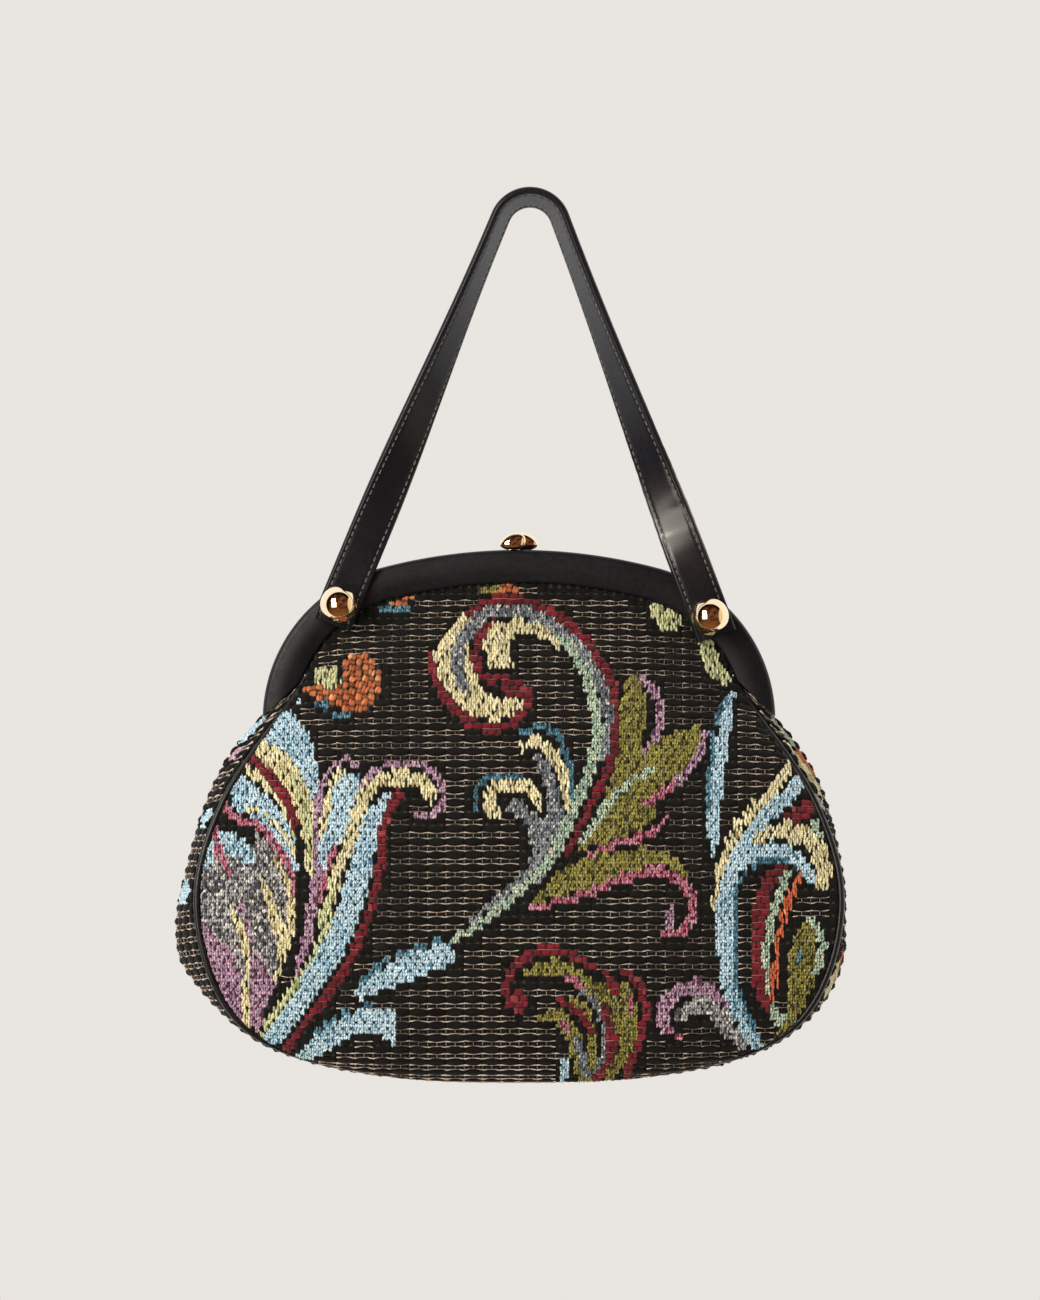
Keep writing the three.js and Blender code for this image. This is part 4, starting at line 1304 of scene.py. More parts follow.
@dataclass
class GussetPatch(Patch):
    """The cloth of the gusset, measured down its middle line from the left end of the frame."""

    form: BodyForm
    name: str = "gusset"
    a_range: Pair = (-44.0, 44.0)
    stations: int = 901
    stops: int = 49  # across the cloth, an odd number
    end_room: float = 0.4
    least_width: float = 0.5

    def __post_init__(self) -> None:
        """Measures the cloth."""
        self.q = np.linspace(0, 3, self.stations)
        middle = self.form.gusset(self.q, 0.5)
        self.t = arc_lengths(middle)
        self.drop = -middle[:, 2]
        self.b_range = (0.0, float(self.t[-1]))
        v = np.linspace(1, 0, self.stops)
        arc = arc_lengths(self.form.gusset(self.q[:, None], v[None, :]), axis=1)
        arc = arc - arc[:, self.stops // 2, None]
        widths = np.arange(self.a_range[0], self.a_range[1] + 1.0)
        self.table = np.stack([np.interp(widths, row, v) for row in arc])
        self.low_a, self.high_a = arc[:, 0] + SEAM_ROOM, arc[:, -1] - SEAM_ROOM

    def surface(self, a: Points, b: Points) -> Points:
        """Gives points of the wall's middle surface.

        Args:
            a: Along the rows.
            b: Down the columns.

        Returns:
            Points in millimetres.
        """
        q = np.interp(b, self.t, self.q)
        v = lookup(self.table, (0.0, self.a_range[0]), (float(self.q[1]), 1.0), q, a)
        return self.form.gusset(q, v)

    def confine(self, a: Points, b: Points) -> tuple[Points, Points]:
        """Pulls coordinates back inside the seams and the ends.

        Args:
            a: Along the rows.
            b: Down the columns.

        Returns:
            The same coordinates, none outside the cloth.
        """
        b = np.clip(b, self.b_range[0] + self.end_room, self.b_range[1] - self.end_room)
        low, high = np.interp(b, self.t, self.low_a), np.interp(b, self.t, self.high_a)
        return np.clip(a, np.minimum(low, high - self.least_width), high), b

    def yarns(self, a: Points, b: Points) -> Points:
        """Reads the ovals of pattern on the two sides.

        Args:
            a: Along the rows.
            b: Down the columns.

        Returns:
            The number of the yarn at each place.
        """
        q, drop = np.interp(b, self.t, self.q), np.interp(b, self.t, self.drop)
        side = np.select([q < 1, q > 2], [-1, 1], 0)
        found = np.zeros(a.shape, dtype=int)
        for oval in SIDE_PATCHES:
            gap = np.hypot((drop - oval.drop) / (oval.tall / 2), (np.abs(a) - oval.across) / (oval.wide / 2))
            found[(side == oval.side) & (gap < 1)] = YARNS.index(oval.yarn)
        return found


ROUND_SECTION = ((-1.0, 0.0), (-0.76, 0.72), (0.0, 1.0), (0.76, 0.72), (1.0, 0.0), (0.0, -0.35))
SLIM_SECTION = ((-1.0, -0.1), (0.0, 1.0), (1.0, -0.1))  # for stitches too small to show their roundness


@dataclass(frozen=True)
class Bead:
    """The shape of one stitch: rings of points along it, in shares of its half length, half width and height.

    The shades are painted shade: they darken its colour at its ends, where it dives into the cloth, and a few
    lighten it a little at the top as painted highlight.
    """

    stops: tuple[float, ...]
    widths: tuple[float, ...]
    heights: tuple[float, ...]
    shades: tuple[float, ...]
    upright: bool
    section: tuple[Pair, ...] = ROUND_SECTION

    def points(self) -> Points:
        """Gives the points of the rings.

        Returns:
            Shares along a row, down a column and up, for each point.
        """
        rings = []
        for stop, wide, high in zip(self.stops, self.widths, self.heights):
            for out, up in self.section:
                rings.append((out * wide, stop, up * high) if self.upright else (stop, out * wide, up * high))
        return np.array(rings)

    def faces(self) -> Faces:
        """Gives the faces, outwards on a cloth whose rows, columns and height are left-handed."""
        faces = ring_faces(len(self.stops), len(self.section))
        return [face[::-1] for face in faces] if self.upright else faces


# The fourth tuple of each bead is its painted shade, darkest at the ends.
TILE_BEAD = Bead(
    (-1, -0.78, 0, 0.78, 1), (0.4, 0.8, 1, 0.8, 0.4), (0.3, 0.8, 1, 0.8, 0.3), (0.6, 1, 1, 1, 0.6), False,
)
LENS_BEAD = Bead((-1, 0, 1), (0.2, 1, 0.2), (0.3, 1, 0.3), (0.7, 1, 0.7), False, SLIM_SECTION)
FLOAT_BEAD = Bead(
    (-1, -0.6, 0.6, 1), (0.6, 1, 1, 0.6), (0.4, 1, 1, 0.4), (0.55, 1.04, 1.04, 0.55), True, SLIM_SECTION,
)
FLECK_BEAD = Bead((-1, 0, 1), (0.75, 1, 0.75), (0.5, 1, 0.5), (0.75, 1.05, 0.75), True, SLIM_SECTION)
BRICK_BEAD = Bead((-1, -0.62, 0.62, 1), (0.6, 1, 1, 0.6), (0.25, 1, 1, 0.25), (0.5, 1, 1, 0.5), False)
NUB_BEAD = Bead((-1, -0.5, 0.4, 1), (0.45, 0.95, 1, 0.5), (0.1, 0.9, 1, 0.15), (0.35, 0.9, 1.08, 0.45), True)


@dataclass
class StitchMesh:
    """Collects many small closed shapes and joins them into one piece.

    A yarn's mixture drifts over the cloth in waves, each bent by a longer one. Their sizes are millimetres a
    radian, the bend in radians, and millimetres a radian of the longer wave.
    """

    patch: Optional[Patch]  # the cloth that beads and threads lie on
    seed: int  # for small differences
    drift_share: float = 0.45
    drift_across: Triple = (3.1, 2.0, 11.0)
    drift_down: Triple = (7.3, 1.7, 9.0)
    dye_limits: Pair = (0.6, 1.4)
    bead_shift: float = 40.0  # each stitch shows another stretch of the yarn
    thread_shift: float = 30.0
    thread_length: float = 8.0

    def __post_init__(self) -> None:
        """Starts empty."""
        self.random = np.random.default_rng(self.seed)
        self.points: list[Points] = []
        self.faces: Faces = []
        self.colours: list[Points] = []
        self.lay: list[Points] = []
        self.count = 0

    def vary(self, spread: float, *shape: int) -> Points:
        """Gives small random differences around 0."""
        return spread * self.random.standard_normal(shape)

    def dye(self, yarn: Yarn, middles: Points, spread: float) -> Points:
        """Mixes a colour for each stitch of one yarn.

        Args:
            yarn: The yarn.
            middles: Two coordinates of each stitch.
            spread: How much the stitches differ in depth.

        Returns:
            Linear colours.
        """
        tone = yarn.value
        a, b = middles.T
        long_a, bend_a, far_b = self.drift_across
        long_b, bend_b, far_a = self.drift_down
        drift = np.sin(a / long_a + bend_a * np.sin(b / far_b))
        drift *= np.sin(b / long_b + bend_b * np.sin(a / far_a))
        mix = np.clip(tone.share + self.drift_share * drift + self.vary(tone.loose, len(a)), 0, 1)[:, None]
        base = np.array(linear(tone.main)) * (1 - mix) + np.array(linear(tone.mixed)) * mix
        base = np.where(self.random.random((len(a), 1)) < tone.fleck_share, linear(tone.fleck), base)
        return base * (1 + self.vary(spread, len(a), 1)).clip(*self.dye_limits)

    def add_points(self, points: Points, faces: Faces, colours: Points, lay: Points) -> None:
        """Adds equal shapes.

        Args:
            points: For each shape its points, in millimetres.
            faces: One shape's faces.
            colours: A colour for each shape, or for each of its points.
            lay: For each shape the millimetres of yarn at its points.
        """
        shapes, size = points.shape[:2]
        for k in range(shapes):
            base = self.count + k * size
            self.faces.extend(tuple(base + v for v in face) for face in faces)
        self.points.append(points.reshape(-1, 3))
        if colours.ndim == 2:
            colours = np.repeat(colours, size, axis=0)
        self.colours.append(colours.reshape(-1, 3))
        self.lay.append(lay.reshape(-1, 2))
        self.count += shapes * size

    def add_beads(
        self, bead: Bead, middles: Points, halves: Points, heights: Points, colours: Points,
        lean: Optional[Points] = None,
    ) -> None:
        """Lays beads on the cloth.

        Args:
            bead: Their shape.
            middles: Two coordinates of each middle.
            halves: Half sizes along the rows and down the columns.
            heights: How far each stands above the cloth.
            colours: A colour for each.
            lean: Angles by which they lean.
        """
        if not len(middles):
            return
        shape = bead.points()
        a, b = shape[:, 0] * halves[:, :1], shape[:, 1] * halves[:, 1:]
        shift = self.random.random((len(middles), 1, 2)) * self.bead_shift
        across, along = (a, b) if bead.upright else (b, a)
        lay = np.stack([across, along], axis=-1) + shift
        if lean is not None:
            turn = lean[:, None]
            a, b = a * np.cos(turn) - b * np.sin(turn), a * np.sin(turn) + b * np.cos(turn)
        lift = CLOTH_OUT + shape[:, 2] * heights[:, None]
        points = self.patch.place(middles[:, :1] + a, middles[:, 1:] + b, lift)
        # Painted shade: each ring's colour is scaled by the bead's shades.
        shades = np.repeat(bead.shades, len(bead.section))
        self.add_points(points, bead.faces(), colours[:, None] * shades[:, None], lay)

    def add_threads(self, lines: Points, lifts: Points, radii: Points, colours: Points) -> None:
        """Lays thin three-sided threads on the cloth.

        Args:
            lines: For each thread its coordinates on the cloth.
            lifts: Heights of its points above the cloth's face.
            radii: Of the threads at their points.
            colours: A colour for each point.
        """
        if not len(lines):
            return
        angles = math.pi * np.array([1 / 2, 7 / 6, 11 / 6])
        along = unit(np.gradient(lines, axis=1))
        side = np.stack([-along[..., 1], along[..., 0]], axis=-1)
        spots = lines[:, :, None, :] + side[:, :, None, :] * (radii[:, :, None] * np.cos(angles))[..., None]
        up = CLOTH_OUT + lifts[:, :, None] + radii[:, :, None] * np.sin(angles)
        threads, stops = lines.shape[:2]
        points = self.patch.place(spots[..., 0], spots[..., 1], up).reshape(threads, stops * 3, 3)
        faces = [face[::-1] for face in ring_faces(stops, 3)]
        size = (threads, stops, 3)
        length = np.broadcast_to(np.linspace(0, self.thread_length, stops)[None, :, None], size)
        round_it = np.broadcast_to(np.linspace(0, 1, 3), size)
        shift = self.random.random((threads, 1, 1)) * self.thread_shift
        lay = np.stack([round_it, length + shift], axis=-1)
        self.add_points(points, faces, np.repeat(colours, 3, axis=1), lay.reshape(threads, stops * 3, 2))

    def build(self, name: str) -> Piece:
        """Joins everything into one object with its dye and its yarn map.

        Args:
            name: The piece's name.

        Returns:
            The new object.
        """
        mesh = bpy.data.meshes.new(name)
        mesh.from_pydata((np.concatenate(self.points) * MM).tolist(), [], self.faces)
        piece = bpy.data.objects.new(name, mesh)
        bpy.context.scene.collection.objects.link(piece)
        dye = mesh.color_attributes.new(DYE_NAME, "FLOAT_COLOR", "POINT")
        colours = np.concatenate(self.colours)
        rgba = np.concatenate([colours, np.ones((len(colours), 1))], axis=1).astype(np.float32)
        dye.data.foreach_set("color", rgba.ravel())
        set_uv(piece, np.concatenate(self.lay))
        mesh.polygons.foreach_set("use_smooth", np.ones(len(mesh.polygons), dtype=bool))
        mesh.update()
        return piece


def spans(wanted: Points) -> list[tuple[int, int]]:
    """Finds the runs of true values in a row, as starts and ends."""
    edges = np.diff(np.concatenate([[0], wanted.astype(int), [0]]))
    return list(zip(np.flatnonzero(edges == 1), np.flatnonzero(edges == -1)))


@dataclass
class Tapestry:
    """The raised weave of one cloth: ground blocks with binding threads, and the coloured figure.

    A block of the ground is four columns wide and two rows tall. Strands stand upright, two side by side in a
    cell. A bar is two columns by one row. Nubs stand in checker order on a coarser lattice.
    """

    patch: Patch
    seed: int
    keep_within: float = 0.9  # a cell stays if its middle is no further than this outside the cloth
    column: float = 2.05
    row: float = 2.95
    dye_spread: float = 0.1
    # The ground's blocks, and the lenses between them.
    tile_columns: int = 4
    tile_half: float = 1.78  # half height of a block at its middle
    tile_middle: float = 1.85  # below the top of its two rows
    tile_rise: float = 0.95
    tile_fill: float = 0.98
    narrow_fill: Pair = (1.1, 0.9)  # of a block too narrow for threads
    single_fill: Pair = (0.97, 0.46)  # of a block in one row only
    tile_spread: float = 0.08
    tile_dye_spread: float = 0.14
    lens_middle: float = 4.8
    lens_half: float = 0.66
    lens_fill: float = 0.94
    lens_rise: float = 0.6  # share of a block's
    # The pairs of binding threads, the ties between them, and the threads on the bars.
    bound_columns: int = 3  # narrower blocks have no threads across them
    thread_lines: tuple[Pair, ...] = ((3.85, -0.42), (5.66, 0.42))  # below a block's top; bulge
    thread_slip: float = 0.1
    thread_radius: float = 0.2
    thread_swell: float = 0.8
    thread_lift: float = 0.8
    thread_sag: float = 0.3
    thread_stops: int = 7
    bulge_power: float = 1.6
    fades: tuple[float, ...] = (-55.0, 69.0, 87.0)  # the binding threads sink in, darker and lower, along these columns
    fade_width: float = 9.0
    fade_dim: float = 0.7
    flat_dim: float = 0.8  # darker and lower between two bulges
    dim_spread: Pair = (0.24, 0.14)  # from point to point, and from thread to thread
    most_dim: float = 0.9
    tie_ends: Pair = (3.9, 5.65)
    tie_lift: float = 0.5
    tie_radius: float = 0.22
    tie_shade: float = 0.35
    tie_spread: float = 0.3
    tie_limits: Pair = (0.4, 1.8)
    bar_thread_stops: int = 4
    bar_thread_slip: float = 0.12
    bar_thread_lift: float = 0.62
    bar_thread_radius: float = 0.24
    bar_thread_spread: float = 0.2
    # The figure's strands, bars and nubs. Leans are in degrees.
    strand_rise: float = 1.15
    strand_least: float = 0.6
    strand_slip: float = 0.13
    strand_spread: Pair = (0.1, 0.15)  # of widths, and of heights
    float_half: Pair = (0.7, 1.7)
    float_stagger: float = 0.4
    float_lean: float = 7.0
    fleck_half: Pair = (0.7, 0.96)
    fleck_lean: float = 17.0
    brick_rise: float = 1.0
    brick_fill: Pair = (1.04, 0.48)
    brick_slip: float = 0.15
    brick_spread: Pair = (0.06, 0.12)
    brick_lean: float = 7.0
    nub_pitch: float = 2.95
    nub_half: Pair = (0.86, 1.95)
    nub_apart: Pair = (0.66, 0.2)
    pit_every: int = 8  # strands to one that is left out
    nub_rise: float = 1.15
    nub_second: float = 0.9  # the second strand's share of height, and of colour as painted shade
    nub_slip: float = 0.17
    nub_spread: Pair = (0.1, 0.12)
    nub_lean: Pair = (14.0, 9.0)
    # The low nubs stand lower, their colour darkened by low_shade as painted shade.
    low_half: Pair = (1.35, 1.2)
    low_rise: float = 0.62
    low_shade: float = 0.5

    def chart(self) -> None:
        """Reads the chart for every cell of the cloth."""
        (a0, a1), (b0, b1) = self.patch.a_range, self.patch.b_range
        self.c0 = math.floor(a0 / self.column / self.tile_columns) * self.tile_columns
        self.r0 = math.floor(b0 / self.row / 2) * 2
        columns = np.arange(self.c0, math.ceil(a1 / self.column))
        rows = np.arange(self.r0, math.ceil(b1 / self.row))
        a, b = np.meshgrid((columns + 0.5) * self.column, (rows + 0.5) * self.row)
        held_a, held_b = self.patch.confine(a, b)
        inside = np.hypot(held_a - a, held_b - b) < self.keep_within
        self.yarn = np.zeros(a.shape, dtype=int)
        self.yarn[inside] = self.patch.yarns(held_a[inside], held_b[inside])
        self.lie = np.array([list(Lie).index(yarn.value.lie) for yarn in YARNS])[self.yarn]
        self.lie[~inside] = -1

    def cells(self, lie: Lie) -> Points:
        """Tells which cells hold yarn that lies this way."""
        return self.lie == list(Lie).index(lie)

    def at(self, row: float, column: float) -> Pair:
        """Gives the cloth coordinates of a row's and a column's border."""
        return (column + self.c0) * self.column, (row + self.r0) * self.row

    def ground(self) -> Piece:
        """Builds the wide blocks and the narrow lenses of the ground.

        Returns:
            The new piece.
        """
        made = StitchMesh(self.patch, self.seed)
        blocks, lenses, self.bound = [], [], []
        black = self.cells(Lie.TILE)
        for pair in range(0, black.shape[0] - 1, 2):
            whole = black[pair] & black[pair + 1]
            for tile in range(0, black.shape[1], self.tile_columns):
                part = slice(tile, min(tile + self.tile_columns, black.shape[1]))
                for start, end in spans(whole[part]):
                    a, b = self.at(pair, tile + (start + end) / 2)
                    half = (end - start) * self.column / 2
                    if end - start < self.bound_columns:
                        wide, tall = self.narrow_fill
                        blocks.append((a, b + self.row, half * wide, self.row * tall))
                        continue
                    blocks.append((a, b + self.tile_middle, half * self.tile_fill, self.tile_half))
                    self.bound.append((a, b, half))
                    for lens in range(start - (tile + start) % 2, end, 2):
                        left, right = max(lens, start), min(lens + 2, end)
                        middle = self.at(pair, tile + (left + right) / 2)[0]
                        wide = (right - left) * self.column / 2 * self.lens_fill
                        lenses.append((middle, b + self.lens_middle, wide, self.lens_half))
                for row in (pair, pair + 1):
                    for start, end in spans(black[row, part] & ~whole[part]):
                        a, b = self.at(row + 0.5, tile + (start + end) / 2)
                        wide, tall = self.single_fill
                        blocks.append((a, b, (end - start) * self.column / 2 * wide, self.row * tall))
        for bead, rows, rise in (
            (TILE_BEAD, blocks, self.tile_rise), (LENS_BEAD, lenses, self.tile_rise * self.lens_rise),
        ):
            table = np.array(rows).reshape(-1, 4)
            rises = rise * (1 + made.vary(self.tile_spread, len(table)))
            dyes = made.dye(Yarn.BLACK, table[:, :2], self.tile_dye_spread)
            made.add_beads(bead, table[:, :2], table[:, 2:], rises, dyes)
        return made.build(f"{self.patch.name}_ground_blocks")

    def threads(self) -> Piece:
        """Builds the pairs of pale binding threads between rows of blocks, their ties, and those on the bars.

        Returns:
            The new piece.
        """
        made = StitchMesh(self.patch, self.seed + 1)
        table = np.array(self.bound).reshape(-1, 3)
        count = len(table)
        a = table[:, :1] + table[:, 2:] * np.linspace(-1, 1, self.thread_stops)
        tile = self.column * self.tile_columns
        # Each thread bulges into the corners between the lens-shaped blocks.
        bulge = (0.5 + 0.5 * np.cos(2 * np.pi * a / tile)) ** self.bulge_power
        sunk = sum(np.exp(-(((table[:, :1] - x) / self.fade_width) ** 2)) for x in self.fades)
        pale, dim = np.array(linear(THREAD_PALE)), np.array(linear(THREAD_DIM))
        for middle, way in self.thread_lines:
            b = table[:, 1:2] + middle + way * bulge + made.vary(self.thread_slip, count, 1)
            # How much darker each point of the thread is, and how much lower it lies: most between bulges and
            # along the fades.
            worn = sunk * self.fade_dim + self.flat_dim * (1 - bulge)
            worn = worn + made.vary(self.dim_spread[0], *a.shape) + made.vary(self.dim_spread[1], count, 1)
            worn = np.clip(worn, 0, self.most_dim)
            colours = pale * (1 - worn[..., None]) + dim * worn[..., None]
            lift = self.thread_lift * (1 - self.thread_sag * worn)
            radii = self.thread_radius * (1 + self.thread_swell * bulge)
            made.add_threads(np.stack([a, b], axis=-1), lift, radii, colours)
        # The ties get the pale thread's colour darkened by tie_shade, as painted shade between the lenses.
        self.ties(made, pale * self.tie_shade)
        self.bar_threads(made)
        return made.build(f"{self.patch.name}_binding_threads")

    def ties(self, made: StitchMesh, dye: Points) -> None:
        """Adds the short upright threads between the small lenses, but none at the end of a row of blocks.

        Args:
            made: Takes the threads.
            dye: Their colour, the pale thread's darkened as painted shade between the lenses.
        """
        met: dict[tuple[int, float], int] = {}
        step = 2 * self.column
        for a, b, half in self.bound:
            for k in range(math.ceil((a - half) / step - LOOSE), math.floor((a + half) / step + LOOSE) + 1):
                at_end = half - abs(k * step - a) < LOOSE * step
                met[(k, b)] = met.get((k, b), 0) + (1 if at_end else 2)
        table = np.array([(k * step, b) for (k, b), times in met.items() if times > 1]).reshape(-1, 2)
        b = table[:, 1:] + np.array(self.tie_ends)
        a = np.repeat(table[:, :1], 2, axis=1)
        colours = dye * (1 + made.vary(self.tie_spread, len(table), 1, 1)).clip(*self.tie_limits)
        made.add_threads(
            np.stack([a, b], axis=-1), np.full(a.shape, self.tie_lift), np.full(a.shape, self.tie_radius),
            np.repeat(colours, 2, axis=1),
        )

    def bar_threads(self, made: StitchMesh) -> None:
        """Adds the pale threads that cross the bars once in two rows.

        Args:
            made: Takes the threads.
        """
        bars = self.cells(Lie.BRICK)
        found = []
        for pair in range(0, bars.shape[0] - 1, 2):
            for start, end in spans(bars[pair] & bars[pair + 1]):
                a, b = self.at(pair + 1, (start + end) / 2)
                found.append((a, b, (end - start) * self.column / 2))
        if not found:
            return
        table = np.array(found)
        a = table[:, :1] + table[:, 2:] * np.linspace(-1, 1, self.bar_thread_stops)
        b = table[:, 1:2] + made.vary(self.bar_thread_slip, *a.shape)
        shade = 1 + made.vary(self.bar_thread_spread, len(table), 1, 1)
        made.add_threads(
            np.stack([a, b], axis=-1), np.full(a.shape, self.bar_thread_lift),
            np.full(a.shape, self.bar_thread_radius),
            np.broadcast_to(np.array(linear(BAR_THREAD)) * shade, (*a.shape, 3)),
        )

    def nubs(self, made: StitchMesh) -> None:
        """Adds the raised nubs of two strands in checker order, and the low ones between them.

        Args:
            made: Takes the nubs.
        """
        low, high = (edge / self.nub_pitch for edge in self.patch.a_range)
        columns = np.arange(math.ceil(low), high).astype(int)
        middles = (columns + 0.5) * self.nub_pitch
        cell = np.clip(np.floor(middles / self.column).astype(int) - self.c0, 0, self.lie.shape[1] - 1)
        rows, places = np.nonzero(self.cells(Lie.NUB)[:, cell])
        raised = (rows + columns[places]) % 2 == 0
        number = self.yarn[rows, cell[places]]
        second = self.nub_second
        # Painted shade: the second strand and the low nubs get their colour darkened, the low ones most.
        for up, side, half, rise, shade in (
            (True, -1, self.nub_half, self.nub_rise, 1.0),
            (True, 1, self.nub_half, self.nub_rise * second, second),
            (False, 0, self.low_half, self.low_rise, self.low_shade),
        ):
            mine = raised == up
            size = int(mine.sum())
            spots = np.stack([middles[places[mine]], (rows[mine] + 0.5 + self.r0) * self.row], axis=-1)
            spots += side * np.array(self.nub_apart) + made.vary(self.nub_slip, size, 2)
            halves = half * (1 + made.vary(self.nub_spread[0], size, 2))
            rises = rise * (1 + made.vary(self.nub_spread[1], size))
            dyes = self.dyes(made, number[mine], spots) * shade
            lean = np.radians(self.nub_lean[0] + made.vary(self.nub_lean[1], size))
            made.add_beads(NUB_BEAD, spots, halves, rises, dyes, lean)

    def strands(
        self, made: StitchMesh, lie: Lie, bead: Bead, tall: int, half: Pair, lean: float,
    ) -> None:
        """Adds upright strands, two side by side in a cell, and leaves a pit open here and there.

        Args:
            made: Takes the strands.
            lie: The yarns wanted.
            bead: The strands' shape.
            tall: Number of strands in a cell's height. Single ones are staggered.
            half: Half sizes of a strand.
            lean: Spread of their angles, in degrees.
        """
        rows, columns = np.nonzero(self.cells(lie))
        step = np.array([self.column / 2, self.row / tall])
        for i in range(2):
            for j in range(tall):
                across, down = 2 * (columns + self.c0) + i, tall * (rows + self.r0) + j
                if tall == 1:
                    kept = (across + 2 * down) % self.pit_every != 0
                    stagger = self.float_stagger * (across[kept] % 2 - 0.5)
                else:
                    kept = (down % 2 == 1) | ((across + down) % (self.pit_every // 2) != 0)
                    stagger = 0.0
                jitter = made.vary(1.0, int(kept.sum()), 6)
                spots = np.stack([across[kept] + 0.5, down[kept] + 0.5 + stagger], axis=-1)
                middles = spots * step + self.strand_slip * jitter[:, :2]
                halves = np.array(half) * (1 + self.strand_spread[0] * jitter[:, 2:4])
                rises = self.strand_rise * (1 + self.strand_spread[1] * jitter[:, 4])
                dyes = self.dyes(made, self.yarn[rows[kept], columns[kept]], middles)
                turn = np.radians(lean * jitter[:, 5])
                made.add_beads(bead, middles, halves, rises.clip(self.strand_least), dyes, turn)

    def bars(self, made: StitchMesh) -> None:
        """Adds the short bars, one or two cells long, in brick order.

        Args:
            made: Takes the bars.
        """
        cuts = []
        for row, mask in enumerate(self.cells(Lie.BRICK)):
            for start, end in spans(mask):
                while start < end:
                    stop = min(end, start + (2 if (start + row) % 2 == 0 else 1))
                    cuts.append((row, start, stop - start))
                    start = stop
        row, start, size = np.array(cuts, dtype=int).reshape(-1, 3).T
        count = len(cuts)
        wide, tall = self.brick_fill
        middles = np.stack(self.at(row + 0.5, start + size / 2), axis=-1)
        middles += made.vary(self.brick_slip, count, 2)
        halves = np.stack([size * self.column / 2 * wide, np.full(count, self.row * tall)], axis=-1)
        halves *= 1 + made.vary(self.brick_spread[0], count, 1)
        rises = self.brick_rise * (1 + made.vary(self.brick_spread[1], count))
        lean = np.radians(made.vary(self.brick_lean, count))
        dyes = self.dyes(made, self.yarn[row, start], middles)
        made.add_beads(BRICK_BEAD, middles, halves, rises, dyes, lean)

    def dyes(self, made: StitchMesh, number: Points, middles: Points) -> Points:
        """Gives a colour for each stitch.

        Args:
            made: Mixes the colours.
            number: The number of each stitch's yarn.
            middles: Two coordinates of each stitch.

        Returns:
            Linear colours.
        """
        colours = np.empty((len(number), 3))
        for k in np.unique(number):
            colours[number == k] = made.dye(YARNS[k], middles[number == k], self.dye_spread)
        return colours

    def figure(self) -> Piece:
        """Builds the coloured floats, strands, bars and nubs of the pattern.

        Returns:
            The new piece.
        """
        made = StitchMesh(self.patch, self.seed + 2)
        self.strands(made, Lie.FLOAT, FLOAT_BEAD, 1, self.float_half, self.float_lean)
        self.strands(made, Lie.FLECK, FLECK_BEAD, 2, self.fleck_half, self.fleck_lean)
        self.bars(made)
        self.nubs(made)
        return made.build(f"{self.patch.name}_figure_stitches")

    def build(self) -> list[Piece]:
        """Builds and dresses the weave.

        Returns:
            Its three pieces.
        """
        self.chart()
        made = ((self.ground(), GROUND_YARN), (self.threads(), BINDING_THREAD), (self.figure(), FIGURE_YARN))
        return [finish_piece(piece, finish.make()) for piece, finish in made]


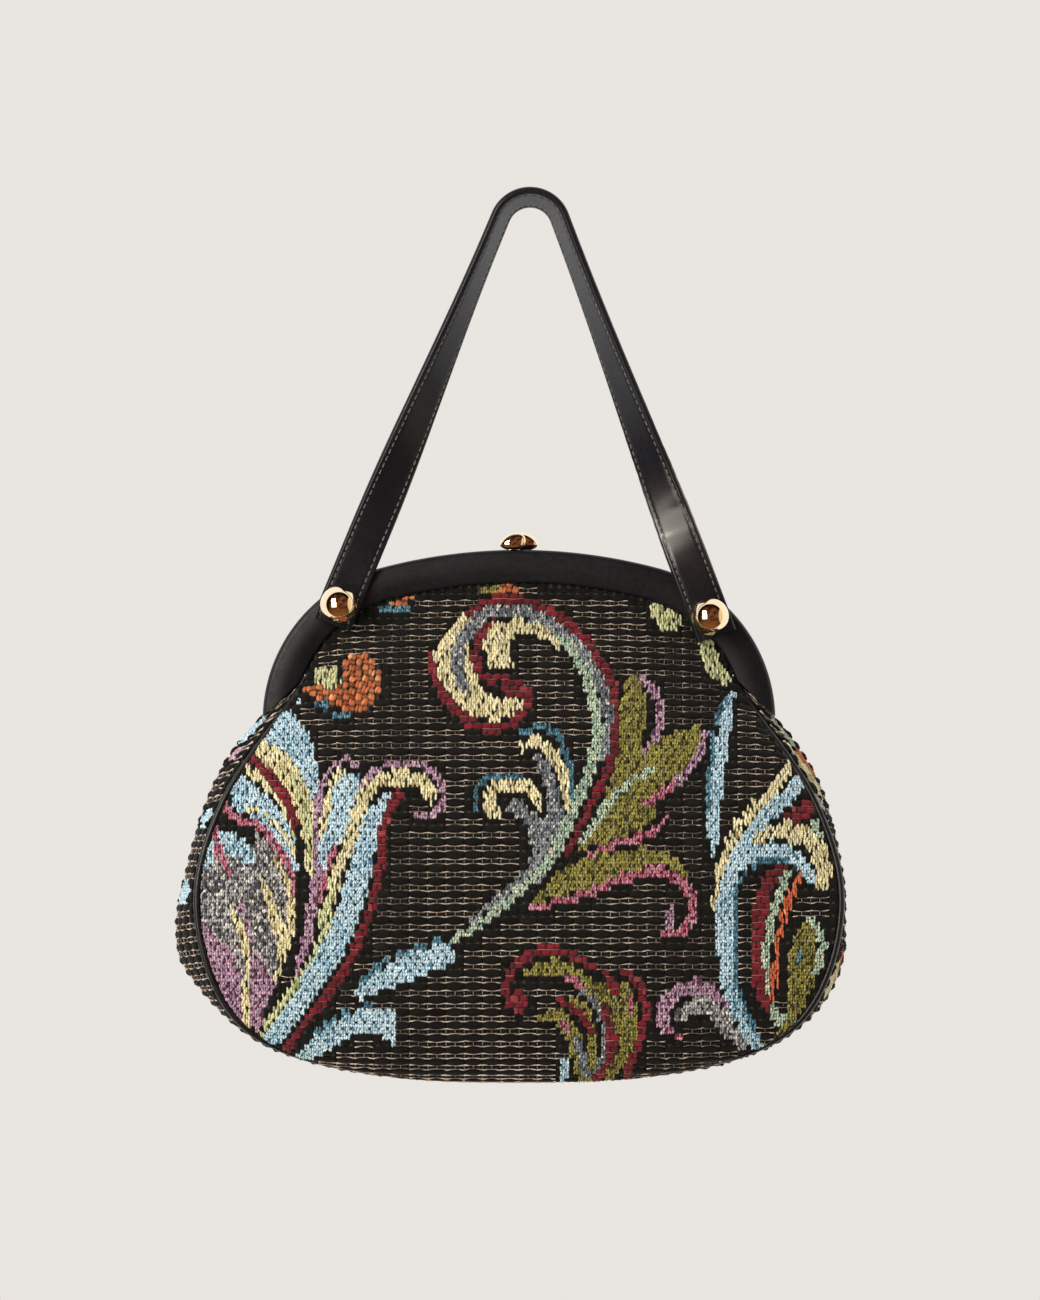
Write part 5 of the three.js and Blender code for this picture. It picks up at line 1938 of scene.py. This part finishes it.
@dataclass
class ClothWalls:
    """The cloth of the body: two panels and the gusset, each a thin wall with its weave on it."""

    form: BodyForm
    levels: int = 70
    columns: int = 64
    tucked_level: float = 0.3  # the panel's top edge, inside the frame's slot
    bottom_room: float = 0.17  # in levels
    gusset_stations: int = 190
    gusset_columns: int = 16
    gusset_room: Pair = (0.4, 0.3)  # from the seam line, at least and as a share of the width
    corner_stops: tuple[Pair, ...] = ((1.25, -0.9), (1.5, 0.3), (2.0, 1.7))
    side_tile_rise: float = 1.75  # the gusset is seen along its face, where only taller blocks show
    side_thread_radius: float = 0.3
    seeds: tuple[int, ...] = (SEED, SEED + 10, SEED + 20)  # of the front's, the back's and the gusset's weave
    flat_panel: Pair = (0.3, 0.275)  # metres
    flat_gusset: Pair = (0.068, 0.62)

    def seam_room(self, level: Points) -> Points:
        """Gives the wall's distance from the seam line, which it reaches at the frame's corners."""
        return np.interp(level, *zip(*self.corner_stops))

    def wall(self, name: str, middle: Points, lay: Points, node: str) -> Piece:
        """Thickens a grid of points into a wall.

        Args:
            name: The piece's name.
            middle: Points of the wall's middle surface.
            lay: Millimetres along the rows and down the columns at each point.
            node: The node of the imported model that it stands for.

        Returns:
            The dressed piece.
        """
        outwards = unit(np.cross(np.gradient(middle, axis=0), np.gradient(middle, axis=1)))
        piece = grid_piece(name, middle + CLOTH_OUT * outwards, lay)
        apply_modifier(piece, "SOLIDIFY", thickness=CLOTH_THICK * MM, offset=-1.0, use_even_offset=True)
        smooth(piece, degrees=60)
        return finish_piece(piece, TAPESTRY_GROUND.make(), [node])

    def panel(self, face: Face) -> Piece:
        """Builds one panel's wall, from inside the frame's slot to the bottom seam.

        Args:
            face: The front or the back.

        Returns:
            The dressed piece.
        """
        below = np.linspace(LIP_LEVEL, LAST_LEVEL - self.bottom_room, self.levels)
        level = np.concatenate([[self.tucked_level], below])[:, None]
        seam = self.form.value("seam_x", level)
        along = np.linspace(-1, 1, self.columns)[None, :] * (1 - self.seam_room(level) / seam)
        middle = self.form.panel(face, level, along * -face.value)
        lay = np.stack([along * seam, arc_lengths(middle)], axis=-1)
        name = face.name.lower()
        return self.wall(f"{name}_cloth", middle, lay, f"{name}_panel")

    def gusset(self) -> Piece:
        """Builds the gusset's wall.

        Returns:
            The dressed piece.
        """
        patch = GussetPatch(self.form)
        q = np.interp(np.linspace(0, patch.t[-1], self.gusset_stations), patch.t, patch.q)[:, None]
        width = np.linalg.norm(self.form.gusset(q, 0.0) - self.form.gusset(q, 1.0), axis=-1)
        least, share = self.gusset_room
        room = np.clip(self.seam_room(self.form.seam_stop(q)[0]), least, share * width) / width
        v = (1 - room) + (2 * room - 1) * np.linspace(0, 1, self.gusset_columns)[None, :]
        along = np.broadcast_to(np.interp(q, patch.q, patch.t), v.shape)
        lay = np.stack([(0.5 - v) * width, along], axis=-1)
        return self.wall("gusset_cloth", self.form.gusset(q, v), lay, "gusset")

    def build(self) -> None:
        cloths = []
        for face, seed in zip(Face, self.seeds):
            tapestry = Tapestry(PanelPatch(self.form, face), seed)
            cloths.append((tapestry, self.panel(face), f"frame_rail_{face.name.lower()}", self.flat_panel))
        tapestry = Tapestry(
            GussetPatch(self.form), self.seeds[-1],
            tile_rise=self.side_tile_rise, thread_radius=self.side_thread_radius,
        )
        cloths.append((tapestry, self.gusset(), "front_cloth", self.flat_gusset))
        for tapestry, cloth, held_by, flat in cloths:
            weave = tapestry.build()


@dataclass
class FrameRail:
    """One half of the frame: leather over a metal rail, arched, with the slot that holds the cloth."""

    arch: Arch
    face: Face
    depth: float = 8.5
    gap: float = 0.3
    crown: float = 0.7  # the leather swells this much over the rail's face
    round_out: float = 2.6
    round_in: float = 1.6
    round_steps: tuple[int, int] = (5, 4)
    swell_steps: int = 8
    slot_depth: float = 5.0
    slot_half: float = 1.5
    crown_steps: int = 14
    shoulder_steps: int = 30
    overshoot: float = math.radians(4)
    cut_from: float = math.radians(52)
    end_reach: float = 0.45
    end_lean: float = 0.15
    mirror_merge: float = 1e-5  # metres

    def section(self) -> list[Pair]:
        """Gives the rail's section.

        Returns:
            Distances in from the outer edge and from the middle plane.
        """
        side = self.depth - self.crown
        face = self.arch.face
        outline = [(0.0, self.gap)]
        for turn in np.linspace(0, math.pi / 2, self.round_steps[0] + 1):
            inset, back = (self.round_out * (1 - part) for part in (math.cos(turn), math.sin(turn)))
            outline.append((inset, side - back))
        for share in np.linspace(0, 1, self.swell_steps + 1)[1:-1]:
            inset = self.round_out + (face - self.round_out - self.round_in) * share
            outline.append((inset, side + self.crown * math.sin(math.pi * share)))
        for turn in np.linspace(0, math.pi / 2, self.round_steps[1] + 1):
            inset, back = (self.round_in * (1 - part) for part in (math.sin(turn), math.cos(turn)))
            outline.append((face - inset, side - back))
        far, near = SLOT_DEPTH_LINE + self.slot_half, SLOT_DEPTH_LINE - self.slot_half
        deep = face - self.slot_depth
        return outline + [(face, far), (deep, far), (deep, near), (face, near), (face, self.gap)]

    def build(self) -> None:
        """Spins the section round the two arcs, cuts the end and mirrors the half."""
        arch = self.arch
        outline = self.section()
        deselect()
        bpy.ops.mesh.primitive_circle_add(vertices=len(outline), radius=1.0)
        name = self.face.name.lower()
        piece = name_new(f"frame_rail_{name}")
        for vertex, (inset, depth) in zip(piece.data.vertices, outline):
            vertex.co = (0.0, self.face.value * depth * MM, (arch.top - inset) * MM)
        edit_all()
        for centre, angle, steps in (
            (arch.crown_centre, arch.crown_angle, self.crown_steps),
            (arch.shoulder_centre, arch.end_angle - arch.crown_angle + self.overshoot, self.shoulder_steps),
        ):
            bpy.ops.mesh.spin(
                steps=steps, angle=angle, center=(centre[0] * MM, 0.0, centre[1] * MM), axis=(0.0, -1.0, 0.0),
            )
        outer = arch.point(arch.end_angle, 0.0)
        inner = arch.point(arch.end_angle - arch.end_slant, arch.face)
        run, fall = outer[0] - inner[0], outer[1] - inner[1]
        middle = arch.shoulder_centre
        select_faces(piece, lambda c: math.atan2(c.x / MM - middle[0], c.z / MM - middle[1]) > self.cut_from)
        # The end leans over the cloth's edge, further at the rail's face than at the middle plane.
        span = math.hypot(run, fall)
        x, z = fall / span, -run / span
        start = (outer[0] + x * self.end_reach, outer[1] + z * self.end_reach)
        bpy.ops.mesh.bisect(
            plane_co=(start[0] * MM, 0.0, start[1] * MM), plane_no=(x, -self.face.value * self.end_lean, z),
            use_fill=True, clear_outer=True,
        )
        bpy.ops.object.mode_set(mode="OBJECT")
        apply_modifier(piece, "MIRROR", use_axis=(True, False, False), merge_threshold=self.mirror_merge)
        edit_all()
        bpy.ops.transform.translate(value=(-HANG_SHIFT * MM, 0.0, 0.0))
        close_mesh()
        smooth(piece, degrees=40)
        finish_piece(piece, FRAME_LEATHER.make(), [f"frame_{name}"])


def square_off(path: Points, side: Points) -> tuple[Points, Points]:
    """Sets directions square to a path.

    Args:
        path: Points of the path.
        side: A direction at each.

    Returns:
        The directions without their part along the path, and those square to both.
    """
    along = unit(np.gradient(path, axis=0))
    side = unit(side - (side * along).sum(1, keepdims=True) * along)
    return side, np.cross(side, along)


def bar_rings(path: Points, side: Points, outline: Points) -> Points:
    """Sets a section along a path.

    Args:
        path: Points of the path.
        side: At each, the direction of the section's first coordinate.
        outline: The section, as distances along that direction and along the third.

    Returns:
        Rings of points.
    """
    side, normal = square_off(path, side)
    return path[:, None] + outline[None, :, :1] * side[:, None] + outline[None, :, 1:] * normal[:, None]


@dataclass
class Piping:
    """Leather piping round a cord, sewn into the seam of a panel and the gusset."""

    form: BodyForm
    face: Face
    radius: float = 1.6
    start: float = 0.015
    seam_stops: int = 1500
    stations: int = 230
    soften: int = 5  # an odd number of stations
    sides: int = 12

    def build(self) -> None:
        """Rolls the piping along the seam."""
        level, across = self.form.seam_stop(np.linspace(self.start, 3 - self.start, self.seam_stops))
        seam = self.form.panel(self.face, level, across)
        arc = arc_lengths(seam)
        even = np.linspace(0, arc[-1], self.stations)
        path = np.stack([np.interp(even, arc, seam[:, k]) for k in range(3)], axis=1)
        kernel, edge = np.ones(self.soften) / self.soften, self.soften // 2
        for k in range(3):
            path[edge:-edge, k] = np.convolve(path[:, k], kernel, "valid")
        turn = np.linspace(0, 2 * np.pi, self.sides, endpoint=False)
        outline = self.radius * np.stack([np.cos(turn), np.sin(turn)], axis=1)
        outwards = np.tile([0.0, float(self.face.value), 0.0], (self.stations, 1))
        name = self.face.name.lower()
        piece = rolled_piece(f"piping_cord_{name}", bar_rings(path, outwards, outline))
        smooth(piece, degrees=50)
        finish_piece(piece, PIPING_LEATHER.make(), [f"piping_{name}"])


@dataclass(frozen=True)
class StudPlace:
    """Where a stud holds an end of the strap, right of the bag's middle."""

    name: str
    side: int
    x: float
    z: float


STUDS = (StudPlace("left", -1, -81.4, -183.6), StudPlace("right", 1, 86.4, -189.0))


@dataclass
class Strap:
    """The strap: two layers of leather sewn along both edges, flat on the studs, on edge at its crest."""

    width: float = 18.5
    thickness: float = 3.4
    edge: float = 1.3
    edge_drop: float = 0.62  # share of half the thickness by which the edges round off
    outline_stops: int = 25
    crest_radius: float = 12.7
    crest_turn: float = math.radians(70)
    flat_share: float = 0.14
    turn_powers: Pair = (1.15, 0.8)  # of the left leg, and of the right one, which turns sooner
    tail: float = 9.4
    back: float = 8.8  # its back face lies this far from the middle plane at the studs
    tail_steps: int = 5
    leg_steps: int = 70
    crest_steps: int = 26
    crease_from_x: float = 20.0
    crease_drop: float = 138.0
    crease_reach: float = 26.0
    crease_depths: Pair = (0.22, 0.14)
    crease_waves: Pair = (1.15, 2.7)  # radians a millimetre
    crease_bend: Pair = (1.4, 0.31)  # of the first wave: radians, and radians a millimetre
    seam_inset: float = 2.4
    seam_dip: float = 0.28
    seam_groove: float = 0.55
    stitch_pitch: float = 3.4
    stitch_half: float = 1.2
    seed: int = SEED + 90  # of the stitches' shades
    stitch_radius: float = 0.32
    stitch_rise: float = 0.5  # share of its radius above the groove
    stitch_margin: float = 4.0
    stitch_stops: tuple[float, ...] = (-1.0, -0.8, 0.8, 1.0)
    stitch_widths: tuple[float, ...] = (0.55, 1.0, 1.0, 0.55)
    stitch_sides: int = 6
    stitch_spread: float = 0.12

    def leaving_angle(self, stud: StudPlace) -> float:
        """Gives the angle round the crest at which a leg leaves it straight towards its stud."""
        dx, dz = abs(stud.x - HANG_SHIFT), stud.z + self.crest_radius
        return math.atan2(dx, dz) - math.acos((self.crest_radius + self.thickness / 2) / math.hypot(dx, dz))

    def crest_point(self, angle: float) -> Points:
        """Finds a point of the middle line on the crest.

        Args:
            angle: From the vertical.

        Returns:
            The point.
        """
        radius = self.crest_radius + self.thickness / 2
        x, z = HANG_SHIFT + radius * math.sin(angle), radius * math.cos(angle) - self.crest_radius
        return np.array([x, 0.0, z])

    def leg(self, stud: StudPlace) -> tuple[list[Points], list[float]]:
        """Draws a leg from its tail up to the crest.

        Args:
            stud: The stud that holds it.

        Returns:
            Its middle line, and its turn at each point.
        """
        level = -(self.back + self.thickness / 2)
        foot = np.array([stud.x, level, stud.z])
        top = self.crest_point(stud.side * self.leaving_angle(stud))
        down = unit((foot - top) * (1, 0, 1))
        path = [foot + down * past for past in np.linspace(self.tail, 0, self.tail_steps, endpoint=False)]
        turns = [0.0] * self.tail_steps
        for share in np.linspace(0, 1, self.leg_steps, endpoint=False):
            turning = max(0.0, (share - self.flat_share) / (1 - self.flat_share))
            point = foot + (top - foot) * share
            point[1] = level * (1 - turning)
            path.append(point)
            turns.append(self.crest_turn * math.sin(turning * math.pi / 2) ** self.turn_powers[stud.side > 0])
        return path, turns

    def route(self) -> tuple[Points, Points]:
        """Draws the whole strap.

        Returns:
            Its middle line, and the direction of its width at each point.
        """
        left, right = STUDS
        path, turns = self.leg(left)
        for angle in np.linspace(-self.leaving_angle(left), self.leaving_angle(right), self.crest_steps):
            path.append(self.crest_point(angle))
            turns.append(self.crest_turn)
        back_path, back_turns = self.leg(right)
        line = np.array(path + back_path[::-1])
        turn = np.array(turns + back_turns[::-1])[:, None]
        along = np.gradient(line, axis=0)
        outward = unit(np.stack([-along[:, 2], np.zeros(len(line)), along[:, 0]], axis=1))
        side = outward * np.cos(turn) + np.array([0.0, -1.0, 0.0]) * np.sin(turn)
        line[:, 0] -= HANG_SHIFT
        return line, side

    def outline(self) -> Points:
        """Draws the section: round edges and a groove along each seam.

        Returns:
            Distances along the width and along the thickness.
        """
        half, flat = self.width / 2, self.thickness / 2
        upper = []
        for out in half * np.linspace(-1, 1, self.outline_stops):
            rim = max(0.0, (abs(out) - (half - self.edge)) / self.edge)
            rise = flat * (1 - self.edge_drop * (1 - math.sqrt(max(0.0, 1 - rim**2))))
            groove = math.exp(-(((abs(out) - (half - self.seam_inset)) / self.seam_groove) ** 2))
            upper.append((out, rise - self.seam_dip * groove))
        return np.array(upper + [(-out, -up) for out, up in upper])

    def creases(self, line: Points, side: Points) -> Points:
        """Gives the soft cross creases in the right leg's lower half.

        Args:
            line: The middle line.
            side: The direction of the width.

        Returns:
            A move for each point of the line.
        """
        fall = -line[:, 2]
        fade = np.exp(-(((fall - self.crease_drop) / self.crease_reach) ** 2))
        strength = np.where(line[:, 0] > self.crease_from_x, fade, 0.0)
        bend = self.crease_bend[0] * np.sin(fall * self.crease_bend[1])
        (deep, fine), (long, short) = self.crease_depths, self.crease_waves
        wave = deep * np.sin(fall * long + bend) + fine * np.sin(fall * short)
        return (strength * wave)[:, None] * square_off(line, side)[1]

    def stitching(self, line: Points, side: Points) -> Piece:
        """Builds the sewing thread along both edges of both faces.

        Args:
            line: The middle line.
            side: The direction of the width.

        Returns:
            The new piece.
        """
        arc = arc_lengths(line)
        starts = np.arange(self.stitch_margin, arc[-1] - self.stitch_margin, self.stitch_pitch)
        stops = np.array(self.stitch_stops) * self.stitch_half
        at = starts[:, None] + stops
        middle, out, up = (
            np.stack([np.interp(at, arc, values[:, k]) for k in range(3)], axis=-1)
            for values in (line, *square_off(line, side))
        )
        turn = np.linspace(0, 2 * np.pi, self.stitch_sides, endpoint=False)[:, None]
        radii = self.stitch_radius * np.array(self.stitch_widths)
        ring = (out[:, :, None] * np.cos(turn) + up[:, :, None] * np.sin(turn)) * radii[None, :, None, None]
        faces = ring_faces(len(stops), self.stitch_sides)
        size = (len(starts), len(stops) * self.stitch_sides)
        lay = np.zeros((*size, 2))
        lay[..., 1] = np.repeat(stops, self.stitch_sides)
        height = self.thickness / 2 - self.seam_dip + self.stitch_rise * self.stitch_radius
        made = StitchMesh(None, self.seed)
        for edge in (-1, 1):
            for way in (-1, 1):
                centre = middle + out * edge * (self.width / 2 - self.seam_inset) + up * way * height
                grey = np.array(linear(SEWING_GREY)) * (1 + made.vary(self.stitch_spread, len(starts), 1))
                points = (centre[:, :, None] + ring).reshape(*size, 3)
                made.add_points(points, faces, np.clip(grey, 0, 1), lay)
        return made.build("strap_stitching")

    def build(self) -> None:
        """Builds the strap and its sewing."""
        line, side = self.route()
        rings = bar_rings(line, side, self.outline()) + self.creases(line, side)[:, None]
        piece = rolled_piece("strap_leather", rings)
        smooth(piece, degrees=60)
        finish_piece(piece, STRAP_LEATHER.make(), ["strap"])
        finish_piece(self.stitching(line, side), WAXED_THREAD.make())


@dataclass
class Stud:
    """A polished ball on a collar, with a post through the strap into the frame."""

    place: StudPlace
    ball: float = 8.5
    neck: float = 4.6
    collar: float = 5.6
    collar_height: float = 1.1
    post: float = 1.8
    post_length: float = 7.4
    foot: float = 12.5  # the collar's foot lies this far from the middle plane
    segments: int = 64
    rings: int = 40

    def build(self) -> None:
        """Cuts a ball flat and draws its collar and post out of the cut."""
        reach = math.sqrt(self.ball**2 - self.neck**2)
        x, z = (self.place.x - HANG_SHIFT) * MM, self.place.z * MM
        cut = -(self.foot + self.collar_height) * MM
        deselect()
        bpy.ops.mesh.primitive_uv_sphere_add(
            segments=self.segments, ring_count=self.rings, radius=self.ball * MM,
            location=(x, cut - reach * MM, z), rotation=(math.pi / 2, 0.0, 0.0),
        )
        piece = name_new(f"stud_ball_{self.place.name}")
        bpy.ops.object.transform_apply(location=True, rotation=True, scale=True)
        edit_all()
        bpy.ops.mesh.bisect(plane_co=(x, cut, z), plane_no=(0.0, 1.0, 0.0), clear_outer=True, use_fill=True)
        wide = self.neck
        for radius, length in (
            (self.collar, 0.0), (self.collar, self.collar_height),
            (self.post, 0.0), (self.post, self.post_length),
        ):
            bpy.ops.mesh.extrude_region_move(TRANSFORM_OT_translate={"value": (0.0, length * MM, 0.0)})
            scale = radius / wide
            piece.update_from_editmode()
            centre = np.mean([vertex.co for vertex in piece.data.vertices if vertex.select], axis=0)
            bpy.ops.transform.resize(value=(scale, scale, scale), center_override=tuple(centre))
            wide = radius
        close_mesh()
        smooth(piece, degrees=35)
        finish_piece(piece, PALE_GOLD.make(), [f"stud_{self.place.name}"])


@dataclass
class ClaspKnob:
    """One knob of the kiss lock: a low dome with a thin rim, whose top leans over towards the other knob."""

    name: str
    side: int
    offset: float = 3.05
    depth: float = 3.55
    half_width: float = 5.8
    half_depth: float = 3.4
    height: float = 7.7
    rim_share: float = 0.33  # height of the rim
    lean: float = 1.9
    foot_share: float = 0.45  # width of the foot
    base_z: float = -158.5
    segments: int = 48
    rings: int = 32

    def build(self) -> None:
        """Draws a ball out into a leaning dome and cuts it off at its foot."""
        x, y = (self.side * self.offset - HANG_SHIFT) * MM, self.side * self.depth * MM
        rim = (self.base_z + self.rim_share * self.height) * MM
        deselect()
        bpy.ops.mesh.primitive_uv_sphere_add(segments=self.segments, ring_count=self.rings, radius=1.0)
        piece = name_new(f"clasp_knob_{self.name}")
        dome = (1 - self.rim_share) * self.height * MM
        bowl = self.rim_share * self.height / math.sqrt(1 - self.foot_share**2) * MM
        for vertex in piece.data.vertices:
            out, deep, up = vertex.co
            vertex.co.x = x + (out * self.half_width - self.side * self.lean * max(up, 0.0)) * MM
            vertex.co.y = y + deep * self.half_depth * MM
            vertex.co.z = rim + up * (dome if up > 0 else bowl)
        edit_all()
        bpy.ops.mesh.bisect(
            plane_co=(x, y, self.base_z * MM), plane_no=(0.0, 0.0, -1.0), clear_outer=True, use_fill=True,
        )
        close_mesh()
        smooth(piece, degrees=35)
        finish_piece(piece, PALE_GOLD.make(), [f"clasp_{self.name}"])


@dataclass(frozen=True)
class Softbox:
    """A square soft light: its side in metres, its power in watts, its place and what it points at."""

    name: str
    size: float
    power: float
    place: Triple
    aim: Triple


@dataclass
class Studio:
    """Pale studio: an even surround, two soft lights from the left, and a room seen in reflections.

    Its sizes are in metres. The room's tones come in one over the other, each along an axis or with the folds
    of the wall, between two values.
    """

    surround: str = "#e9e5e0"
    surround_strength: float = 1.0
    camera_distance: float = 4.0
    camera_x: float = -0.00455
    camera_z: float = -0.2041
    pixels_per_mm: float = 2.2
    image_height: int = 1300
    sensor: float = 36.0
    floor_z: float = -0.78
    floor_radius: float = 2.6
    floor_tones: tuple[str, str] = ("#e4e0d9", "#dfdad2")
    room_radius: float = 3.0
    room_tone: str = "#3a2018"
    room_tones: tuple[tuple[str, str, float, float], ...] = (
        ("#74503c", "folds", 0.4, 0.62),
        ("#150b08", "Y", -2.1, -1.0),
        ("#7c5230", "Z", -1.1, -2.6),
        ("#ecd9b4", "X", 2.35, 2.55),
        ("#ffffff", "Y", -0.42, -0.2),
    )
    room_glow: float = 1.15
    light_tone: str = "#fff6ea"
    softboxes: tuple[Softbox, ...] = (
        Softbox("key_softbox", 0.9, 34.0, (-1.35, -1.75, 0.75), (0.0, 0.0, -0.22)),
        Softbox("front_softbox", 1.1, 11.0, (-1.1, -1.75, -0.2), (0.0, 0.0, -0.2)),
    )

    def build_camera(self) -> None:
        """Sets the camera level with the bag's middle, at the photo's framing."""
        data = bpy.data.cameras.new("photo_camera")
        data.sensor_width = self.sensor
        focal_pixels = self.pixels_per_mm * self.camera_distance / MM
        data.lens = focal_pixels * self.sensor / self.image_height
        camera = bpy.data.objects.new("photo_camera", data)
        camera.location = (self.camera_x, -self.camera_distance, self.camera_z)
        camera.rotation_euler = (math.pi / 2, 0.0, 0.0)
        bpy.context.scene.collection.objects.link(camera)
        bpy.context.scene.camera = camera

    def build_floor(self) -> None:
        """Lays a round pale floor below the bag."""
        deselect()
        bpy.ops.mesh.primitive_circle_add(
            vertices=96, radius=self.floor_radius, fill_type="NGON", location=(0.0, 0.0, self.floor_z),
        )
        floor = name_new("studio_floor")
        material, tree, shader = new_material("matte_paper_floor")
        where = add_node(tree, "TexCoord").outputs["Object"]
        fleck = add_node(tree, "TexNoise", {"Vector": where, "Scale": 40.0, "Detail": 4.0})
        pale, dim = self.floor_tones
        tints = {MIX_SHARE: fleck, MIX_A: opaque(pale), MIX_B: opaque(dim)}
        tint = add_node(tree, "Mix", tints, data_type="RGBA")
        set_inputs(tree, shader, {"Base Color": tint, "Roughness": 0.9})
        floor.data.materials.append(material)
        floor.visible_glossy = False

    def build_room(self) -> None:
        """Hangs a round room that only reflections see: brown in front, pale on the right and at the back."""
        deselect()
        bpy.ops.mesh.primitive_uv_sphere_add(segments=64, ring_count=48, radius=self.room_radius)
        room = name_new("reflected_room")
        material, tree, shader = new_material("painted_room_wall")
        where = add_node(tree, "TexCoord").outputs["Object"]
        folds = add_node(tree, "TexNoise", {"Vector": where, "Scale": 1.1, "Detail": 2.0})
        axes = add_node(tree, "SeparateXYZ", {"Vector": where}).outputs
        colour: Socket = opaque(self.room_tone)
        for code, along, low, high in self.room_tones:
            value = folds if along == "folds" else axes[along]
            share = add_node(tree, "MapRange", {"Value": value, "From Min": low, "From Max": high})
            colour = add_node(
                tree, "Mix", {MIX_SHARE: share, MIX_A: colour, MIX_B: opaque(code)}, data_type="RGBA",
            )
        set_inputs(tree, shader, {
            "Emission Color": colour, "Emission Strength": self.room_glow, "Base Color": opaque("#000000"),
            "Specular IOR Level": 0.0,
        })
        room.data.materials.append(material)
        room.visible_camera = room.visible_diffuse = room.visible_shadow = room.visible_transmission = False

    def build_lights(self) -> None:
        """Sets the surround, the key light at the upper left and a weaker light at the left."""
        world = bpy.data.worlds.new("pale_surround")
        world.use_nodes = True
        tree = world.node_tree
        tree.nodes.clear()
        glow = add_node(
            tree, "Background", {"Color": opaque(self.surround), "Strength": self.surround_strength},
        )
        add_node(tree, "OutputWorld", {"Surface": glow})
        bpy.context.scene.world = world
        for box in self.softboxes:
            data = bpy.data.lights.new(box.name, "AREA")
            data.shape = "SQUARE"
            data.size = box.size
            data.energy = box.power
            data.color = linear(self.light_tone)
            lamp = bpy.data.objects.new(box.name, data)
            lamp.location = box.place
            way = np.array(box.aim) - np.array(box.place)
            flat = math.hypot(way[0], way[1])
            lamp.rotation_euler = (math.atan2(flat, -way[2]), 0.0, math.atan2(way[1], way[0]) - math.pi / 2)
            bpy.context.scene.collection.objects.link(lamp)

    def build(self) -> None:
        """Builds the whole studio."""
        self.build_camera()
        self.build_floor()
        self.build_room()
        self.build_lights()
        bpy.context.scene.view_settings.view_transform = "Standard"


def main() -> None:
    """Builds the studio, then the bag piece by piece."""
    logging.basicConfig(level=logging.INFO, format="%(name)s: %(message)s")
    form = BodyForm()
    Studio().build()
    for face in Face:
        FrameRail(form.arch, face).build()
    ClothWalls(form).build()
    for face in Face:
        Piping(form, face).build()
    Strap().build()
    for place in STUDS:
        Stud(place).build()
    for face in Face:
        ClaspKnob(face.name.lower(), face.value).build()
    steel = PIN_STEEL.make()
    for name in ("hinge_pin_left", "hinge_pin_right"):
        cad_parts[name].data.materials.clear()
        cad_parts[name].data.materials.append(steel)
        LOG.info("%s: kept from the packed model", name)


if __name__ == "__main__":
    main()
